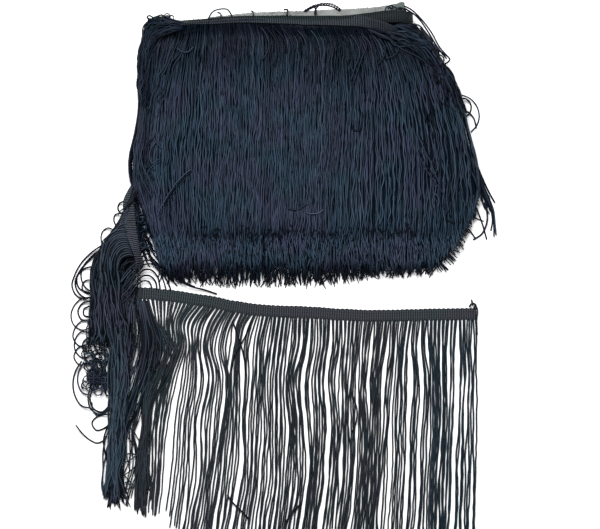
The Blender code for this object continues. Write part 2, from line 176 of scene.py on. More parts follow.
class Finish:
    """A material while it is being made."""

    def __init__(self, name, roughness, specular):
        self.material = bpy.data.materials.new(name)
        self.material.use_nodes = True
        self.tree = self.material.node_tree
        self.shader = self.tree.nodes["Principled BSDF"]
        self.shader.inputs["Roughness"].default_value = roughness
        self.shader.inputs["Specular IOR Level"].default_value = specular

    def node(self, kind, settings=None, inputs=None, output=0):
        """Add a node: its settings first, then the values or links of its sockets."""
        made = self.tree.nodes.new("ShaderNode" + kind)
        for key, value in (settings or {}).items():
            if key == "stops":
                self.set_stops(made.color_ramp, value)
            else:
                setattr(made, key, value)
        for key, value in (inputs or {}).items():
            self.feed(made.inputs[key], value)
        return Value(self, made.outputs[output])

    def set_stops(self, ramp, stops):
        """Put a colour ramp's stops at their places."""
        while len(ramp.elements) < len(stops):
            ramp.elements.new(0.5)
        for element, (place, colour) in zip(ramp.elements, stops):
            element.position = place
            element.color = (*colour, 1.0)

    def feed(self, socket, value):
        """Link a value to a socket, or set the socket where it is a plain number or colour."""
        if isinstance(value, Value):
            self.tree.links.new(value.socket, socket)
        else:
            socket.default_value = value

    def mix(self, share, low, high):
        """Mix two colours, each a colour or a link."""
        low, high = [(*c, 1.0) if isinstance(c, tuple) else c for c in (low, high)]
        return self.node("Mix", {"data_type": "RGBA"}, {0: share, 6: low, 7: high}, output=2)

    def tint(self, share, base, cast):
        """Multiply a colour by a cast, as far as the share says."""
        settings = {"data_type": "RGBA", "blend_type": "MULTIPLY"}
        return self.node("Mix", settings, {0: share, 6: base, 7: cast}, output=2)

    def place(self, stretch=(1.0, 1.0, 1.0)):
        """The point on the object, in metres, stretched on each axis."""
        at = self.node("TexCoord", output=3)
        return self.node("Mapping", {}, {"Vector": at, "Scale": stretch})

    def sideways(self):
        """How far right of the middle a point on the object lies, in metres."""
        return self.node("SeparateXYZ", {}, {0: self.node("TexCoord", output=3)})

    def noise(self, vector, scale, detail=2.0):
        return self.node("TexNoise", {}, {"Vector": vector, "Scale": scale, "Detail": detail})

    def map_parts(self):
        """The two parts of the piece's own UV map."""
        at = self.node("UVMap", {"uv_map": "UVMap"})
        return (self.node("SeparateXYZ", {}, {0: at}, output=0),
                self.node("SeparateXYZ", {}, {0: at}, output=1))

    def bump(self, height, depth_mm, strength=1.0):
        settings = {"Strength": strength, "Distance": depth_mm * MM, "Height": height}
        normal = self.node("Bump", {}, settings)
        self.feed(self.shader.inputs["Normal"], normal)


print("finish helper ready")

# %% [markdown]
# ## Yarn, tape and board finishes
#
# The yarn is chainette: a tiny knitted tube whose stitches make chevrons. It is dyed a navy that is almost
# black, and lengths of it lean to teal or to violet, so a slow noise drifts the hue. A number kept on each
# yarn makes it lighter or darker: partly at random, and partly as painted shade where it lies deep in the
# bundle or under the header. Each yarn's sides are painted darker than its top, as painted shade. The header
# tape has one rib for each leg of yarn, and each rib is painted as a light line on a dark ground: painted
# highlight and shade.

# %% Yarn finish
STITCH = 1.5
# where each cast sits on the slow noise: teal, plain and violet
YARN_CASTS = ((0.40, (0.80, 1.05, 1.01)), (0.52, (1.0, 1.0, 1.0)), (0.62, (1.16, 0.95, 1.04)))
FAR_RIGHT_CAST = (0.70, 1.04, 1.22, 1.0)
NOWHERE = 9.0


def yarn_finish(name, deep, lit, teal_from=NOWHERE):
    """Navy chainette: chevron stitches, a tone for each yarn, a slow drift of hue, teal far right, and sides
    painted darker than the top as painted shade.
    """
    made = Finish(name, roughness=0.4, specular=0.07)
    around, along = made.map_parts()
    tone = made.node("Attribute", {"attribute_name": "tone"}, output=2)
    below = 1.0 - (around - 0.5).size() * 2.0
    chevron = ((around * 2.0).part() - 0.5).size()
    stitch = (along / STITCH + chevron * 1.2).wave()
    # painted shade: each yarn's sides and underside are painted darker than its top, as if lit from above
    painted_top_light = (1.0 - below * 2.0).held()
    slow = made.noise(made.place(), 30.0, 4.0)
    hue = made.node("ValToRGB", {"stops": YARN_CASTS}, {0: slow})
    shade = (tone + stitch * 0.2 - 0.1) * (painted_top_light * 0.85 + 0.15)
    plain = made.mix(shade.held(), deep, lit)
    tinted = made.tint(0.85, plain, hue)
    right = ((made.sideways() - teal_from) * 12.0).held()
    dyed = made.tint(right, tinted, FAR_RIGHT_CAST)
    made.feed(made.shader.inputs["Base Color"], dyed)
    made.feed(made.shader.inputs["Roughness"], 0.50 - 0.14 * stitch)
    made.bump(stitch, 0.12, 0.6)
    return made.material


wound_yarn = yarn_finish("wound_yarn_navy", (0.001, 0.002, 0.005), (0.047, 0.069, 0.109))
laid_yarn = yarn_finish("laid_yarn_navy", (0.001, 0.002, 0.003), (0.031, 0.038, 0.048), 0.08)
heap_yarn = yarn_finish("heap_yarn_navy", (0.0005, 0.001, 0.002), (0.056, 0.073, 0.107))
print("yarn finishes:", wound_yarn.name, laid_yarn.name, heap_yarn.name)

# %% Tape finish
RIB = 2.1
TAPE_WIDTH = 10.0
TAPE_CASTS = ((0.40, (0.84, 1.02, 0.98)), (0.52, (1.0, 1.0, 1.0)), (0.62, (1.06, 0.98, 1.06)))


def tape_finish(name, deep, lit, rows, thin=1.5):
    """Header tape: ribs across it, each painted as a light line on dark as painted highlight and shade,
    thinner as thin grows, and rows of stitches along it.
    """
    made = Finish(name, roughness=0.75, specular=0.08)
    along, across = made.map_parts()
    rib = along.wave()
    row = (across * 4.0).wave()
    fleck = made.noise(made.place(), 700.0, 3.0)
    slow = made.noise(made.place(), 16.0, 3.0)
    hue = made.node("ValToRGB", {"stops": TAPE_CASTS}, {0: slow})
    # painted highlight and shade: each rib is painted as a light line on a dark ground
    shade = (rib ** thin * 0.95 + row * rows + fleck * 0.8 - 0.32).held()
    plain = made.mix(shade, deep, lit)
    made.feed(made.shader.inputs["Base Color"], made.tint(0.9, plain, hue))
    made.feed(made.shader.inputs["Roughness"], 0.85 - 0.15 * rib)
    made.bump(rib * 0.8 + row * 0.35 + fleck * 0.2, 0.25, 0.8)
    return made.material


front_grey = tape_finish("front_tape_navy", (0.002, 0.002, 0.003), (0.036, 0.041, 0.047), 0.3)
wound_grey = tape_finish("wound_tape_navy", (0.002, 0.003, 0.004), (0.032, 0.038, 0.047), 0.15, 2.0)
coil_dark = tape_finish("coil_tape_navy", (0.001, 0.002, 0.002), (0.015, 0.021, 0.022), 0.1)
fall_dark = tape_finish("fall_tape_navy", (0.0005, 0.001, 0.002), (0.062, 0.072, 0.088), 0.0, 3.0)
print("tape finishes:", front_grey.name, wound_grey.name, coil_dark.name, fall_dark.name)

# %% Board finish
GREEN_SHADED_CORNER = 0.092
STAIN_STOPS = ((0.38, (0.0, 0.0, 0.0)), (0.62, (1.0, 1.0, 1.0)))


def board_finish():
    """Recycled grey board: pale, mottled and a little fibrous, greener towards its right corner, and darker
    there as painted shade on the bent-up corner.
    """
    made = Finish("card_grey_board", roughness=0.9, specular=0.2)
    clouds = made.noise(made.place(), 55.0, 4.0)
    fibres = made.noise(made.place((1.0, 6.0, 1.0)), 420.0, 3.0)
    stain = made.node("ValToRGB", {"stops": STAIN_STOPS}, {0: clouds})
    body = made.mix(stain, (0.060, 0.062, 0.060), (0.155, 0.159, 0.156))
    speck = (fibres * 1.6 - 0.45).held()
    whole = made.mix(speck, body, (0.28, 0.30, 0.29))
    # painted shade: the bent-up right corner is painted darker, and greener too
    corner = ((made.sideways() - GREEN_SHADED_CORNER) * 110.0).held()
    made.feed(made.shader.inputs["Base Color"], made.mix(corner, whole, (0.085, 0.105, 0.092)))
    made.feed(made.shader.inputs["Roughness"], 0.95 - 0.15 * fibres)
    made.bump(fibres * 0.5 + clouds, 0.15, 0.5)
    return made.material


grey_board = board_finish()
print("board finish:", grey_board.name)

# %% Floor
FLOOR_SIZE = 12.0
FLOOR_DROP = 0.0002

bpy.ops.object.select_all(action="DESELECT")
bpy.ops.mesh.primitive_plane_add(size=FLOOR_SIZE, location=(0.0, 0.0, -FLOOR_DROP))
floor = bpy.context.object
floor.name = "white_table"
table = Finish("white_table_top", roughness=0.9, specular=0.1)
mottle = table.noise(table.place(), 3.0)
table.feed(table.shader.inputs["Base Color"], table.mix(mottle, (0.88, 0.88, 0.885), (0.91, 0.91, 0.912)))
floor.data.materials.append(table.material)
print("floor:", floor.name)

# %% [markdown]
# ## Reading smooth curves from short tables
#
# Every guide in this lesson is a short table of places in millimetres. Straight lines between the
# places would show as kinks, so one reader gives a curve without corners through them.

# %% Smooth reader
def smooth(xs, ys, at):
    """Read tables ys, whose last axis runs over xs, along a curve without corners."""
    xs = np.asarray(xs, float)
    ys = np.asarray(ys, float)
    at = np.asarray(at, float)
    slopes = np.gradient(ys, xs, axis=-1)
    i = np.clip(np.searchsorted(xs, at) - 1, 0, len(xs) - 2)
    step = xs[i + 1] - xs[i]
    t = np.clip((at - xs[i]) / step, 0.0, 1.0)

    def pick(table, j):
        if table.ndim == 1:
            return table[j]
        j = np.broadcast_to(j, (*table.shape[:-1], j.shape[-1]))
        return np.take_along_axis(table, j, axis=-1)

    start = (2 * t ** 3 - 3 * t ** 2 + 1) * pick(ys, i) + (t ** 3 - 2 * t ** 2 + t) * step * pick(slopes, i)
    end = (3 * t ** 2 - 2 * t ** 3) * pick(ys, i + 1) + (t ** 3 - t ** 2) * step * pick(slopes, i + 1)
    return start + end


def through(points, steps):
    """A smooth line of so many steps through a few points, evenly paced along its length."""
    points = np.asarray(points, float)
    travel = np.concatenate([[0.0], np.cumsum(np.linalg.norm(np.diff(points, axis=0), axis=1))])
    at = np.linspace(0.0, travel[-1], steps)
    return np.stack([smooth(travel, points[:, axis], at) for axis in range(points.shape[1])], axis=-1)


def drift(strands, steps, across, along, draw):
    """Slow sway from -1 to 1, alike for neighbours: a coarse random grid, read smoothly."""
    grid = draw.uniform(-1.0, 1.0, (int(strands / across) + 3, int(steps / along) + 3))
    rows = np.arange(strands) / across
    columns = np.arange(steps) / along
    by_row = smooth(np.arange(grid.shape[0]), grid.T, rows).T
    return smooth(np.arange(grid.shape[1]), by_row, columns)


print("halfway from 0 to 1:", float(smooth([0, 1, 2], [0, 1, 1], np.array([0.5]))[0]))

# %% [markdown]
# ## Yarn as a mesh
#
# A curve object with a round bevel would do for one yarn, but there are about three thousand of them.
# Here all the yarns of one kind become a single mesh: rings of points are carried along each line and
# joined by faces, with closed ends, a map that counts round and along the yarn, and a tone for each.

# %% Yarn builder
THIN_YARN = 1.15
TIP_SHARE = 0.7
LOWEST_LAID = 0.7


def rings_round(lines, thick, sides):
    """Rings of points round lines given as strands x steps x 3."""
    ahead = np.gradient(lines, axis=1)
    ahead /= np.maximum(np.linalg.norm(ahead, axis=2, keepdims=True), 1e-9)
    flat = np.abs(ahead[:, 0, 2]) < 0.9
    helper = np.where(flat[:, None], (0.0, 0.0, 1.0), (1.0, 0.0, 0.0))
    side = np.cross(ahead[:, 0], helper)
    angles = np.arange(sides) * math.tau / sides - math.pi / 2.0
    rings = np.empty((*lines.shape[:2], sides, 3))
    for step in range(lines.shape[1]):
        way = ahead[:, step]
        side = side - way * (side * way).sum(axis=1, keepdims=True)
        side /= np.maximum(np.linalg.norm(side, axis=1, keepdims=True), 1e-9)
        up = np.cross(way, side)
        circle = side[:, None] * np.cos(angles)[:, None] + up[:, None] * np.sin(angles)[:, None]
        rings[:, step] = lines[:, step, None] + circle * thick[:, step, None, None] / 2.0
    return rings


def yarn_part(lines, width, tone, sides, draw, first):
    """Points, faces and maps of one group of yarns; first is the number of its first point."""
    strands, steps, _ = lines.shape
    thick = np.full((strands, steps), width) * draw.uniform(0.88, 1.1, (strands, 1))
    thick[:, -1] *= TIP_SHARE
    rings = rings_round(lines, thick, sides)
    number = first + np.arange(strands * steps * sides).reshape(strands, steps, sides)
    turned = np.roll(number, -1, axis=2)
    quads = np.stack([number[:, :-1], turned[:, :-1], turned[:, 1:], number[:, 1:]], axis=-1).reshape(-1, 4)
    travel = np.linalg.norm(np.diff(lines, axis=1), axis=2).cumsum(axis=1)
    travel = np.concatenate([np.zeros((strands, 1)), travel], axis=1) + draw.uniform(0, 3, (strands, 1))
    here = np.broadcast_to(np.arange(sides) / sides, (strands, steps - 1, sides))
    low = np.broadcast_to(travel[:, :-1, None], here.shape)
    high = np.broadcast_to(travel[:, 1:, None], here.shape)
    around = np.stack([here, here + 1 / sides, here + 1 / sides, here], axis=-1)
    along = np.stack([low, low, high, high], axis=-1)
    quad_map = np.stack([around, along], axis=-1).reshape(-1, 2)
    caps = np.concatenate([number[:, 0, ::-1], number[:, -1]])
    cap_map = np.tile(np.stack([np.arange(sides) / sides, np.zeros(sides)], axis=1), (len(caps), 1))
    scatter = 0.2 if np.isscalar(tone) else 0.05
    tones = np.clip(tone + draw.normal(0.0, scatter, (strands, 1)), 0.0, 1.0) * np.ones((strands, steps))
    return rings.reshape(-1, 3), quads, quad_map, caps, cap_map, np.repeat(tones.ravel(), sides)


def yarn_piece(name, groups, material, seed, sides=4):
    """One joined mesh of yarns from groups of (lines in millimetres, yarn width, tone)."""
    draw = np.random.default_rng(seed)
    parts = []
    first = 0
    for lines, width, tone in groups:
        parts.append(yarn_part(lines, width, tone, sides, draw, first))
        first += len(parts[-1][0])
    points, quads, quad_maps, caps, cap_maps, tones = [np.concatenate(column) for column in zip(*parts)]
    mesh = bpy.data.meshes.new(name)
    mesh.vertices.add(len(points))
    mesh.vertices.foreach_set("co", (points * MM).ravel())
    corners = np.concatenate([quads.ravel(), caps.ravel()])
    mesh.loops.add(len(corners))
    mesh.loops.foreach_set("vertex_index", corners)
    starts = np.concatenate([np.arange(len(quads)) * 4, quads.size + np.arange(len(caps)) * sides])
    mesh.polygons.add(len(starts))
    mesh.polygons.foreach_set("loop_start", starts)
    mesh.update(calc_edges=True)
    layer = mesh.uv_layers.new(name="UVMap")
    layer.data.foreach_set("uv", np.concatenate([quad_maps, cap_maps]).ravel())
    mesh.attributes.new("tone", "FLOAT", "POINT").data.foreach_set("value", tones)
    mesh.shade_smooth()
    mesh.materials.append(material)
    piece = bpy.data.objects.new(name, mesh)
    bpy.context.scene.collection.objects.link(piece)
    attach(piece, "root")
    triangles = 2 * len(quads) + len(caps) * (sides - 2)
    print(name, "yarns:", sum(len(group[0]) for group in groups), "triangles:", triangles)
    return piece


print("yarn builder ready")

# %% Yarn layers
def thread(points, height, steps=36):
    """A single yarn through given points in plan; its heights are spread evenly along it."""
    flat = through(points, steps)
    heights = smooth(np.linspace(0.0, 1.0, len(height)), height, np.linspace(0.0, 1.0, steps))
    return np.concatenate([flat, heights[:, None]], axis=1)[None]


def lay(guides, count, steps, sway, stack, draw, ragged=0.06, crinkle=0.6):
    """Fill the space between guide yarns with yarns that sway a little and pile up to a height."""
    lines = np.stack([through(guide, steps) for guide in guides])
    shares = (np.arange(count) + draw.uniform(0.2, 0.8, count)) / count * (len(guides) - 1)
    laid = smooth(np.arange(len(guides)), lines.transpose(1, 2, 0), shares).transpose(2, 0, 1)
    travel = np.linspace(0.0, 1.0, steps)
    loose = np.minimum(1.0, travel * 4.0)
    order = draw.permutation(count)
    for axis in (0, 1):
        alike = drift(count, steps, 5, 7, draw) * sway
        alone = drift(count, steps, 0.6, 6, draw)[order] * sway * 0.6
        fine = drift(count, steps, 0.5, 2.4, draw) * crinkle
        laid[:, :, axis] += (alike + alone + fine) * loose
    depth = draw.uniform(0.0, 1.0, (count, 1)) + 0.25 * drift(count, steps, 1, 8, draw)
    laid[:, :, 2] -= stack * np.clip(depth, 0.0, 1.0) * laid[:, :, 2] * np.minimum(1.0, travel * 8.0 + 0.15)
    laid[:, :, 2] = np.maximum(laid[:, :, 2], LOWEST_LAID)
    ends = 1.0 - draw.uniform(0.0, ragged, count)
    for i, end in enumerate(ends):
        laid[i] = smooth(travel, laid[i].T, travel * end).T
    return laid


def streaked(lines, light, dark, width=THIN_YARN, every=2):
    """One yarn in a few light and the rest dark, as crossing yarns catch or miss the light."""
    caught = np.arange(len(lines)) % every == 0
    lines[:, :, 2] += 0.5 * caught[:, None]
    tone = np.where(caught, light, dark) * (0.8 + 0.2 * np.cos(2.4 * np.arange(len(lines))))
    return lines, width, np.repeat(tone[:, None], lines.shape[1], axis=1)


def nest_rings(count, middle, reach, radii, top, low, draw):
    """Curled ends heaped in an oval: each goes round one and a half times while it wanders."""
    steps = 34
    rings = []
    for _ in range(count):
        spot = np.array(middle) + draw.uniform(-1, 1, 2) * reach
        radius = draw.uniform(*radii)
        turn = draw.uniform(0, math.tau) + np.linspace(0.0, draw.uniform(1.1, 1.8) * math.tau, steps)
        wander = np.linspace(0.0, 1.0, steps) * draw.uniform(-1.2, 1.2) * radius
        x = spot[0] + radius * np.cos(turn)
        y = spot[1] + radius * 0.9 * np.sin(turn) + wander
        z = draw.uniform(low, top) + 0.9 * np.sin(turn * 0.7 + draw.uniform(0, 6))
        rings.append(np.stack([x, y, np.maximum(z, 0.75)], axis=1))
    return np.array(rings)


print("yarn layers ready")

# %% [markdown]
# ## Tape as a thin ribbed sheet
#
# The header tape is ten millimetres wide and about a millimetre thick. Its ribs and its scalloped edge
# show close up, so a grid primitive as fine as the ribs is bent along the tape's route, each point put
# in place by a formula, and a Solidify modifier gives it its thickness.

# %% Sheet helpers
def flat_grid(name, columns, rows):
    """A flat grid primitive, and each point's share of the way along and across it."""
    bpy.ops.object.select_all(action="DESELECT")
    bpy.ops.mesh.primitive_grid_add(x_subdivisions=columns, y_subdivisions=rows, size=2.0)
    sheet = bpy.context.object
    sheet.name = name
    at = np.empty(len(sheet.data.vertices) * 3)
    sheet.data.vertices.foreach_get("co", at)
    return sheet, (at.reshape(-1, 3)[:, :2] + 1.0) / 2.0


def thicken(sheet, thick):
    """Give a sheet its thickness, half to each side."""
    body = sheet.modifiers.new("thickness", "SOLIDIFY")
    body.thickness = thick * MM
    body.offset = 0.0
    bpy.ops.object.modifier_apply(modifier=body.name)


print("sheet helpers ready")

# %% Tape builder
CUTS_PER_RIB = 6
ROWS_RIBBED = 8
ROWS_PLAIN = 2
RIB_RISE = 0.24
SCALLOP = 0.55


def tape_points(middle, across, travel, share, ribbed, draw):
    """A tape's points, bent along its route, with its ribs and its scalloped, uneven edges."""
    length = travel[-1]
    walked = share[:, 0] * length
    centre = np.stack([smooth(travel, middle[:, k], walked) for k in range(3)], axis=1)
    cross = np.stack([smooth(travel, across[:, k], walked) for k in range(3)], axis=1)
    cross /= np.linalg.norm(cross, axis=1, keepdims=True)
    ahead = np.stack([smooth(travel, np.gradient(middle[:, k], travel), walked) for k in range(3)], axis=1)
    face = np.cross(cross, ahead)
    face /= np.linalg.norm(face, axis=1, keepdims=True)
    scallop = SCALLOP * np.cos(walked / RIB * math.pi / 2.0) ** 2 * (share[:, 1] > 0.99)
    stations = np.arange(0.0, length + 20.0, 9.0)
    uneven = 0.35 * np.interp(walked, stations, draw.uniform(-1, 1, len(stations)))
    side = (0.5 - share[:, 1]) * TAPE_WIDTH - scallop + uneven
    rib = np.cos(walked / RIB * math.tau) * RIB_RISE * ribbed
    rib *= 0.75 + 0.25 * np.cos(share[:, 1] * math.tau * 4.0)
    return centre + cross * side[:, None] + face * rib[:, None]


def tape_sheet(name, middle, across, thick, ribbed, finish, seed):
    """A tape along a middle line; across points from its plain edge to its fringed edge."""
    draw = np.random.default_rng(seed)
    travel = np.concatenate([[0.0], np.cumsum(np.linalg.norm(np.diff(middle, axis=0), axis=1))])
    length = travel[-1]
    ribs = length / RIB
    columns = int(ribs * CUTS_PER_RIB) if ribbed else len(middle) - 1
    piece, share = flat_grid(name, columns, ROWS_RIBBED if ribbed else ROWS_PLAIN)
    points = tape_points(middle, across, travel, share, ribbed, draw)
    mesh = piece.data
    mesh.vertices.foreach_set("co", (points * MM).ravel())
    corner = np.empty(len(mesh.loops), dtype=np.int32)
    mesh.loops.foreach_get("vertex_index", corner)
    flat = np.stack([share[corner, 0] * ribs, share[corner, 1]], axis=1)
    mesh.uv_layers[0].data.foreach_set("uv", flat.ravel())
    mesh.uv_layers[0].name = "UVMap"
    mesh.update()
    thicken(piece, thick)
    bpy.ops.object.shade_smooth()
    mesh.materials.append(finish)
    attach(piece, "root")
    print(name, "length in mm:", round(length), "faces:", len(mesh.polygons))
    return piece, length


print("tape builder ready")

# %% [markdown]
# ## The wound bundle's form
#
# The bundle is a flattened roll of yarn, fatter at the shoulders and thinner towards its two tiers of
# ragged ends. A table gives its sides and thickness at each height, the same sizes as its solid.

# %% Bundle form
BUNDLE_Y = (-14, 3, 14, 36, 58, 78, 101, 123, 151, 173, 192, 205, 217, 228)
BUNDLE_LEFT = (-105, -113, -117, -123, -130, -139, -141, -136, -132, -133, -131, -130, -128, -124)
BUNDLE_RIGHT = (132, 139, 150, 163, 173.5, 177, 174.5, 168.5, 162, 155, 142, 135, 127, 120)
BUNDLE_THICK = (12.0, 14.5, 16.5, 25.0, 26.5, 27.5, 28.5, 29.0, 30.0, 31.0, 31.5, 32.0, 31.5, 30.0)
SHOULDER = 0.42
YARNS_ABOVE = 1.4
SWELL = 0.7
HOLLOW_Y = 212.0
HOLLOW_REACH = 8.0
HOLLOW_DEPTH = 4.5


def bundle_side(y):
    """The bundle's left and right sides and its thickness at a height."""
    return (smooth(BUNDLE_Y, BUNDLE_LEFT, y), smooth(BUNDLE_Y, BUNDLE_RIGHT, y),
            smooth(BUNDLE_Y, BUNDLE_THICK, y))


def bundle_top(x, y):
    """Height of the bundle's upper face, with the hollow under the header tape."""
    left, right, thick = bundle_side(y)
    place = np.clip((x - left) / (right - left), 0.0, 1.0)
    dome = np.sqrt(np.clip(1.0 - np.abs(2.0 * place - 1.0) ** 8, 0.0, 1.0))
    swell = SWELL * np.sin(9.0 * place + 0.019 * y) + SWELL * np.sin(21.0 * place - 0.033 * y + 1.3)
    hollow = HOLLOW_DEPTH * np.exp(-((y - HOLLOW_Y) / HOLLOW_REACH) ** 2)
    return thick * (SHOULDER + (1.0 - SHOULDER) * dome) - YARNS_ABOVE + swell * dome - hollow * dome


print("thickness at the shoulder:", float(bundle_side(np.array([192.0]))[2][0]))

# %% [markdown]
# ## Heart of the bundle
#
# Under the yarns that show lie hundreds that don't. They are one body, painted darker than the yarns over it
# as painted shade in the gaps, so that no gap between two yarns shows the table. A cube is cut up finely,
# and each point moves to its place in the roll.

# %% Packed yarn finish
def heart_finish():
    """Packed yarn, darker than the yarns over it as painted shade in their gaps: fine streaks along the
    strands.
    """
    made = Finish("packed_yarn_painted_shade", roughness=0.85, specular=0.03)
    streak = made.noise(made.place((1.0, 0.06, 1.0)), 700.0, 3.0)
    # painted shade: far darker than the yarns over it, for the gaps between them
    colour = made.mix(streak, (0.001, 0.002, 0.004), (0.006, 0.010, 0.018))
    made.feed(made.shader.inputs["Base Color"], colour)
    made.feed(made.shader.inputs["Roughness"], 0.95 - 0.2 * streak)
    made.bump(streak, 0.8)
    return made.material


packed_shade_yarn = heart_finish()
print("packed finish:", packed_shade_yarn.name)

# %% Bundle heart
HEART_SHRINK = 3.8
HEART_FOOT = 1.2
HEART_CUTS = 28


def fine_cube(name, cuts):
    """A cube cut up finely, and its points, from -1 to 1 on each axis."""
    bpy.ops.object.select_all(action="DESELECT")
    bpy.ops.mesh.primitive_cube_add(size=2.0)
    body = bpy.context.object
    body.name = name
    bpy.ops.object.mode_set(mode="EDIT")
    bpy.ops.mesh.subdivide(number_cuts=cuts)
    bpy.ops.object.mode_set(mode="OBJECT")
    at = np.empty(len(body.data.vertices) * 3)
    body.data.vertices.foreach_get("co", at)
    return body, at.reshape(-1, 3)


def press(body, x, y, z):
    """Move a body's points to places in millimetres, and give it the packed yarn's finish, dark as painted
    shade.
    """
    body.data.vertices.foreach_set("co", (np.stack([x, y, z], axis=1) * MM).ravel())
    body.data.update()
    bpy.ops.object.shade_smooth()
    body.data.materials.append(packed_shade_yarn)


def build_heart():
    """A subdivided cube pressed into the bundle's form, a little smaller than the yarns over it."""
    heart, unit = fine_cube("bundle_heart", HEART_CUTS)
    y = smooth((-1.0, 1.0), (4.0, 224.0), unit[:, 1])
    left, right, _ = bundle_side(y)
    x = (left + HEART_SHRINK) + (right - left - 2 * HEART_SHRINK) * (unit[:, 0] + 1.0) / 2.0
    top = bundle_top(x, y) - HEART_SHRINK
    low_end = 8.0 + 14.0 * np.clip((y - 20.0) / 25.0, 0.0, 1.0)
    top = np.where(y < 45.0, np.minimum(top, low_end), top)
    z = HEART_FOOT + (top - HEART_FOOT) * (unit[:, 2] + 1.0) / 2.0
    press(heart, x, y, z)
    return heart


heart = build_heart()
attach(heart, "root")
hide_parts("wound_fringe")
print("heart faces:", len(heart.data.polygons))

# %% [markdown]
# ## Yarns over the bundle
#
# The yarns leave the header, dip, swell over the shoulder and fall to a ragged edge. In the middle they
# hang straight; on the right they fan out from the corner, and on the left they are drawn inwards.
# A few guide yarns give that flow, and all the others are laid between them in layers. They start in painted
# shade under the header, the deeper layers are painted darker as painted shade, and a pool of painted light
# lies low at the right.

# %% Flow over the bundle
FALL_LEVELS = (22, 28, 82, 146, 192, 206, 229)
# each row: the root, then the place at each level from the lowest up
FALL = (
    (-127, -124, -124, -137, -132, -130, -128, -123),
    (-108, -115, -116, -124, -120, -116, -114, -108),
    (-92, -106, -107, -112, -108, -102, -98, -92),
    (-77, -84, -84, -86, -83, -80, -78, -77),
    (-40, -44, -44, -42, -40, -40, -40, -40),
    (14, 12, 13, 14, 15, 16, 17, 14),
    (60, 58, 59, 62, 63, 62, 62, 59),
    (78, 93, 93, 94, 91, 86, 82, 77),
    (96, 128, 129, 130, 123, 113, 106, 95),
    (109, 156, 157, 158, 148, 134, 124, 107),
    (117, 176, 177, 177, 163, 144, 133, 114),
)
fall = np.array(FALL, float)
# where the yarns start: the header's lower edge in plan, then its height
EDGE_X = (-128, -95, -77, -50, -31, 14, 78, 87, 105, 117)
EDGE_Y = (228, 223.4, 224, 226.1, 227, 221.6, 221.6, 219.8, 216, 214)
ROOT_X = (-128, -40, 10, 60, 90, 117)
ROOT_Z = (32.6, 32.6, 32.0, 32.0, 28.5, 25.0)
# how low yarns reach at each place across, over all the layers
REACH_X = (-137, -127, -122, -118, -109, -102, -60, 40, 60, 80, 114, 128, 137, 145, 152, 157, 161, 166, 171,
           175, 178)
REACH_Y = (71, 55, 41, 19, -5, -12, -17, -17, -12, -9, -7, -5, 0, 8, 14, 23, 31, 40, 47, 62, 80)
# how far the yarns swing sideways as they leave the header, as shares of a layer's hook
HOOK_X = (-60, -20, 60, 117)
HOOK_SHARE = (0.0, 1.0, 1.0, 1.3)
# a pool of painted light low at the right, and a darker strip down the left side
PAINTED_LIGHT_PATCH = (88.0, 68.0)
PAINTED_LIGHT_REACH = 42.0
DARK_STRIP = -127.0
DARK_REACH = 10.0


def fall_tones(tone, x, y, below, draw):
    """How light each yarn is along its way: it starts in painted shade under the header, and a few come out
    of it soon.
    """
    count, steps = x.shape
    own = np.clip(tone + draw.normal(0.0, 0.09, (count, 1)), 0.03, 1.0)
    # tone that differs at random along each yarn; its short flecks are also painted glints where the twist
    # catches the light
    own = own + 0.1 * drift(count, steps, 0.5, steps / 20, draw) + 0.17 * drift(count, steps, 0.5, 1.5, draw)
    # painted shade under the header tape, fading out over a reach below it: a short one for a fifth of the
    # yarns
    header_shade_reach = np.where(draw.uniform(0, 1, (count, 1)) < 0.20, 13.0, draw.uniform(48.0, 88.0, (count, 1)))
    shade = np.clip(below / header_shade_reach, 0.0, 1.0) ** 1.3 * np.clip(0.52 + below / 120.0, 0.0, 1.0)
    # a pool of painted light low at the right
    sideways = (x - PAINTED_LIGHT_PATCH[0]) / PAINTED_LIGHT_REACH
    upwards = (y - PAINTED_LIGHT_PATCH[1]) / PAINTED_LIGHT_REACH
    shade *= 1.0 + 0.3 * np.exp(-sideways ** 2 - upwards ** 2)
    strip = 0.6 * np.exp(-((x - DARK_STRIP) / DARK_REACH) ** 2) * np.clip((y - 60.0) / 15.0, 0.0, 1.0)
    shade *= 1.0 - strip
    return np.clip(own, 0.0, 1.0) * (0.10 + 0.90 * shade)


